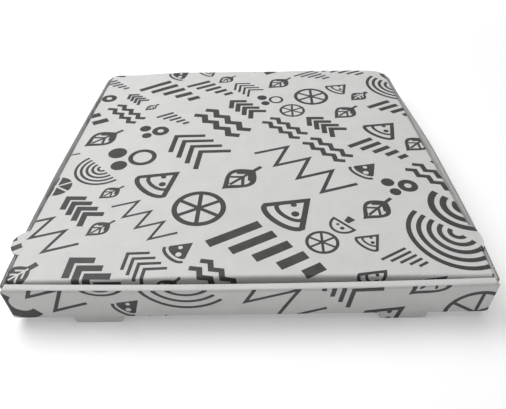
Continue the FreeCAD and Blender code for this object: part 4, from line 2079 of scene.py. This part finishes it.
@dataclass(frozen=True)
class CutFinish:
    """The raw paper of a cut edge, or the hollow between the liners, darkened as painted shade for the gaps
    between the flutes.
    """

    name: str
    colour: Colour
    shade: float = 0.7
    fuzz_size: float = 0.35
    roughness: float = 0.9
    relief: float = 0.05
    relief_strength: float = 0.8

    def build(self) -> bpy.types.Material:
        """The finish as a material.

        Returns:
            The material.
        """
        tree = FinishTree(self.name)
        fuzz = tree.noise(self.fuzz_size, detail=4.0)
        dark = shaded(self.colour, self.shade)
        tree.drive("Base Color", tree.mix(fuzz.above(0.3, 0.7), dark, shaded(self.colour)))
        tree.drive("Roughness", self.roughness)
        tree.bump(fuzz, self.relief, self.relief_strength)
        return tree.material


@dataclass(frozen=True)
class Lamp:
    """A square soft lamp that looks at the box, with its place and size in metres and its power in watts."""

    name: str
    place: tuple[float, float, float]
    size: float
    power: float

    def build(self) -> None:
        """Puts the lamp into the scene."""
        data = bpy.data.lights.new(self.name, "AREA")
        data.size, data.energy = self.size, self.power
        lamp = linked(bpy.data.objects.new(self.name, data))
        lamp.location = self.place
        lamp.rotation_euler = (-Vector(self.place)).to_track_quat("-Z", "Y").to_euler()


@dataclass
class Studio:
    """Camera, floor and soft light.

    The camera's place and the gap under the feet are millimetres; the floor's half width and fade are metres.
    """

    sizes: BoxSizes
    eye: tuple[float, float, float] = (0.8, -370.3, 274.1)
    yaw: float = 0.33
    pitch: float = 39.43
    roll: float = -0.55
    lens: float = 33.56
    sensor: float = 36.0
    floor_half: float = 12.0
    floor_gap: float = 0.05
    floor_tones: tuple[float, float] = (0.94, 0.96)
    floor_cloud: float = 400.0
    floor_glow: float = 0.18
    floor_fade: tuple[float, float] = (0.4, 1.8)
    surround: float = 0.17
    lamps: tuple[Lamp, ...] = (
        Lamp("key", (-0.75, 0.35, 1.05), 0.9, 9.5),
        Lamp("top", (-0.2, 0.45, 1.9), 2.6, 27.0),
    )

    def camera(self) -> None:
        """The camera at the photograph's viewing angle."""
        yaw, pitch, roll = (math.radians(a) for a in (self.yaw, self.pitch, self.roll))
        ahead = Vector((math.sin(yaw) * math.cos(pitch), math.cos(yaw) * math.cos(pitch), -math.sin(pitch)))
        level = Vector((math.cos(yaw), -math.sin(yaw), 0))
        upright = level.cross(ahead)
        right = level * math.cos(roll) + upright * math.sin(roll)
        up = upright * math.cos(roll) - level * math.sin(roll)
        data = bpy.data.cameras.new("view")
        data.lens, data.sensor_width, data.sensor_fit = self.lens, self.sensor, "HORIZONTAL"
        camera = linked(bpy.data.objects.new("view", data))
        camera.matrix_world = Matrix((right, up, -ahead)).transposed().to_4x4()
        camera.location = Vector(self.eye) * MM
        bpy.context.scene.camera = camera

    def floor(self) -> None:
        """A pale floor under the feet and the rear edge, on which the box leans back a little.

        It glows faintly by the box and goes over to plain white far from it.
        """
        sizes = self.sizes
        slope = sizes.foot_drop / (2 * sizes.half_depth)
        reach = self.floor_half
        corners = [
            (x, y, (y + sizes.half_depth * MM) * slope - self.floor_gap * MM)
            for x, y in ((-reach, -reach), (reach, -reach), (reach, reach), (-reach, reach))
        ]
        mesh = bpy.data.meshes.new("floor")
        mesh.from_pydata(corners, [], [(0, 1, 2, 3)])
        tree = FinishTree("studio_floor")
        dark, light = (shaded((tone,) * 3) for tone in self.floor_tones)
        tree.drive("Base Color", tree.mix(tree.noise(self.floor_cloud), dark, light))
        tree.drive("Roughness", 0.9)
        place = tree.node("ShaderNodeTexCoord", output="Object")
        away = tree.node("ShaderNodeVectorMath", {"operation": "LENGTH"}, {0: place}, output="Value")
        glows = tree.mix(away.above(*self.floor_fade), shaded((self.floor_glow,) * 3), shaded((1, 1, 1)))
        tree.drive("Emission Color", glows)
        tree.drive("Emission Strength", 1.0)
        mesh.materials.append(tree.material)
        linked(bpy.data.objects.new("floor", mesh))

    def light(self) -> None:
        """Key light from the upper left, a broad light overhead and a dim even surround."""
        for lamp in self.lamps:
            lamp.build()
        world = bpy.data.worlds.new("surround")
        world.use_nodes = True
        nodes, links = world.node_tree.nodes, world.node_tree.links
        background, seen = nodes["Background"], nodes.new("ShaderNodeLightPath")
        strength = nodes.new("ShaderNodeMapRange")
        background.inputs["Color"].default_value = (1, 1, 1, 1)
        strength.inputs["To Min"].default_value = self.surround
        links.new(seen.outputs["Is Camera Ray"], strength.inputs["Value"])
        links.new(strength.outputs[0], background.inputs["Strength"])
        bpy.context.scene.world = world
        bpy.context.scene.view_settings.view_transform = "Standard"

    def build(self) -> None:
        """Sets up everything that isn't the object."""
        self.camera()
        self.floor()
        self.light()


@dataclass
class PizzaBox:
    """The whole box."""

    sizes: BoxSizes
    seam: float = 155.0
    seam_height: float = 31.5
    white: Colour = (0.68, 0.676, 0.668)
    grey_white: Colour = (0.67, 0.664, 0.65)
    cut: Colour = (0.66, 0.655, 0.645)
    # Painted shade: the hollow between the liners is darker than the cut paper and stands for the shaded gaps
    # between the flutes; the groove adds its own real shading.
    hollow: Colour = (0.45, 0.445, 0.435)

    def finishes(self) -> list[bpy.types.Material]:
        """The board's materials.

        Returns:
            One for each member of Liner, in order.
        """
        return [
            PaperFinish("white_liner", self.white).build(),
            InkFinish("dark_ink", self.white).build(),
            PaperFinish("inside_liner", self.grey_white).build(),
            CutFinish("cut_paper", self.cut).build(),
            # Painted shade for the gaps between the flutes, laid on the hollow of each cut edge.
            CutFinish("edge_hollow_painted_shade", self.hollow).build(),
        ]

    def build(self) -> list[bpy.types.Object]:
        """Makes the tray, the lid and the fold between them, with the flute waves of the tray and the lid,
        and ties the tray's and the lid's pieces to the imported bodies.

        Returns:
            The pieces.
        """
        settling = Settling(self.sizes)
        hinge = HingeFold(self.sizes, settling, self.seam, self.seam_height)
        turn = hinge.sheet_turn()
        tray = Tray(self.sizes, settling, self.seam_height).blank(turn)
        lid = Lid(self.sizes, settling, self.seam).blank()
        reach = self.sizes.half_width + self.sizes.wall_top
        shapes = PrintDesign().shapes((-reach, -reach), (reach, turn + reach))
        mesher = BoardMesher(self.sizes)
        finishes = self.finishes()
        tray_board, lid_board, hinge_board = (
            mesher.build(blank, shapes, finishes) for blank in (tray, lid, hinge.blank())
        )
        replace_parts(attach(tray_board, "tray"), "tray")
        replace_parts(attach(lid_board, "lid"), "lid")
        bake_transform(hinge_board)
        flutes = Flutes(self.sizes, mesher)
        tray_flutes = flutes.build("tray_flutes", tray, finishes[Liner.CUT_EDGE.value])
        lid_flutes = flutes.build("lid_flutes", lid, finishes[Liner.CUT_EDGE.value])
        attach(tray_flutes, "tray")
        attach(lid_flutes, "lid")
        return [tray_board, lid_board, hinge_board, tray_flutes, lid_flutes]


def main() -> None:
    """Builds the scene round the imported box."""
    logging.basicConfig(level=logging.INFO, format="%(message)s")
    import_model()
    sizes = BoxSizes.from_frame()
    Studio(sizes).build()
    for piece in PizzaBox(sizes).build():
        LOG.info("built %s: %d faces", piece.name, len(piece.data.polygons))


if __name__ == "__main__":
    main()
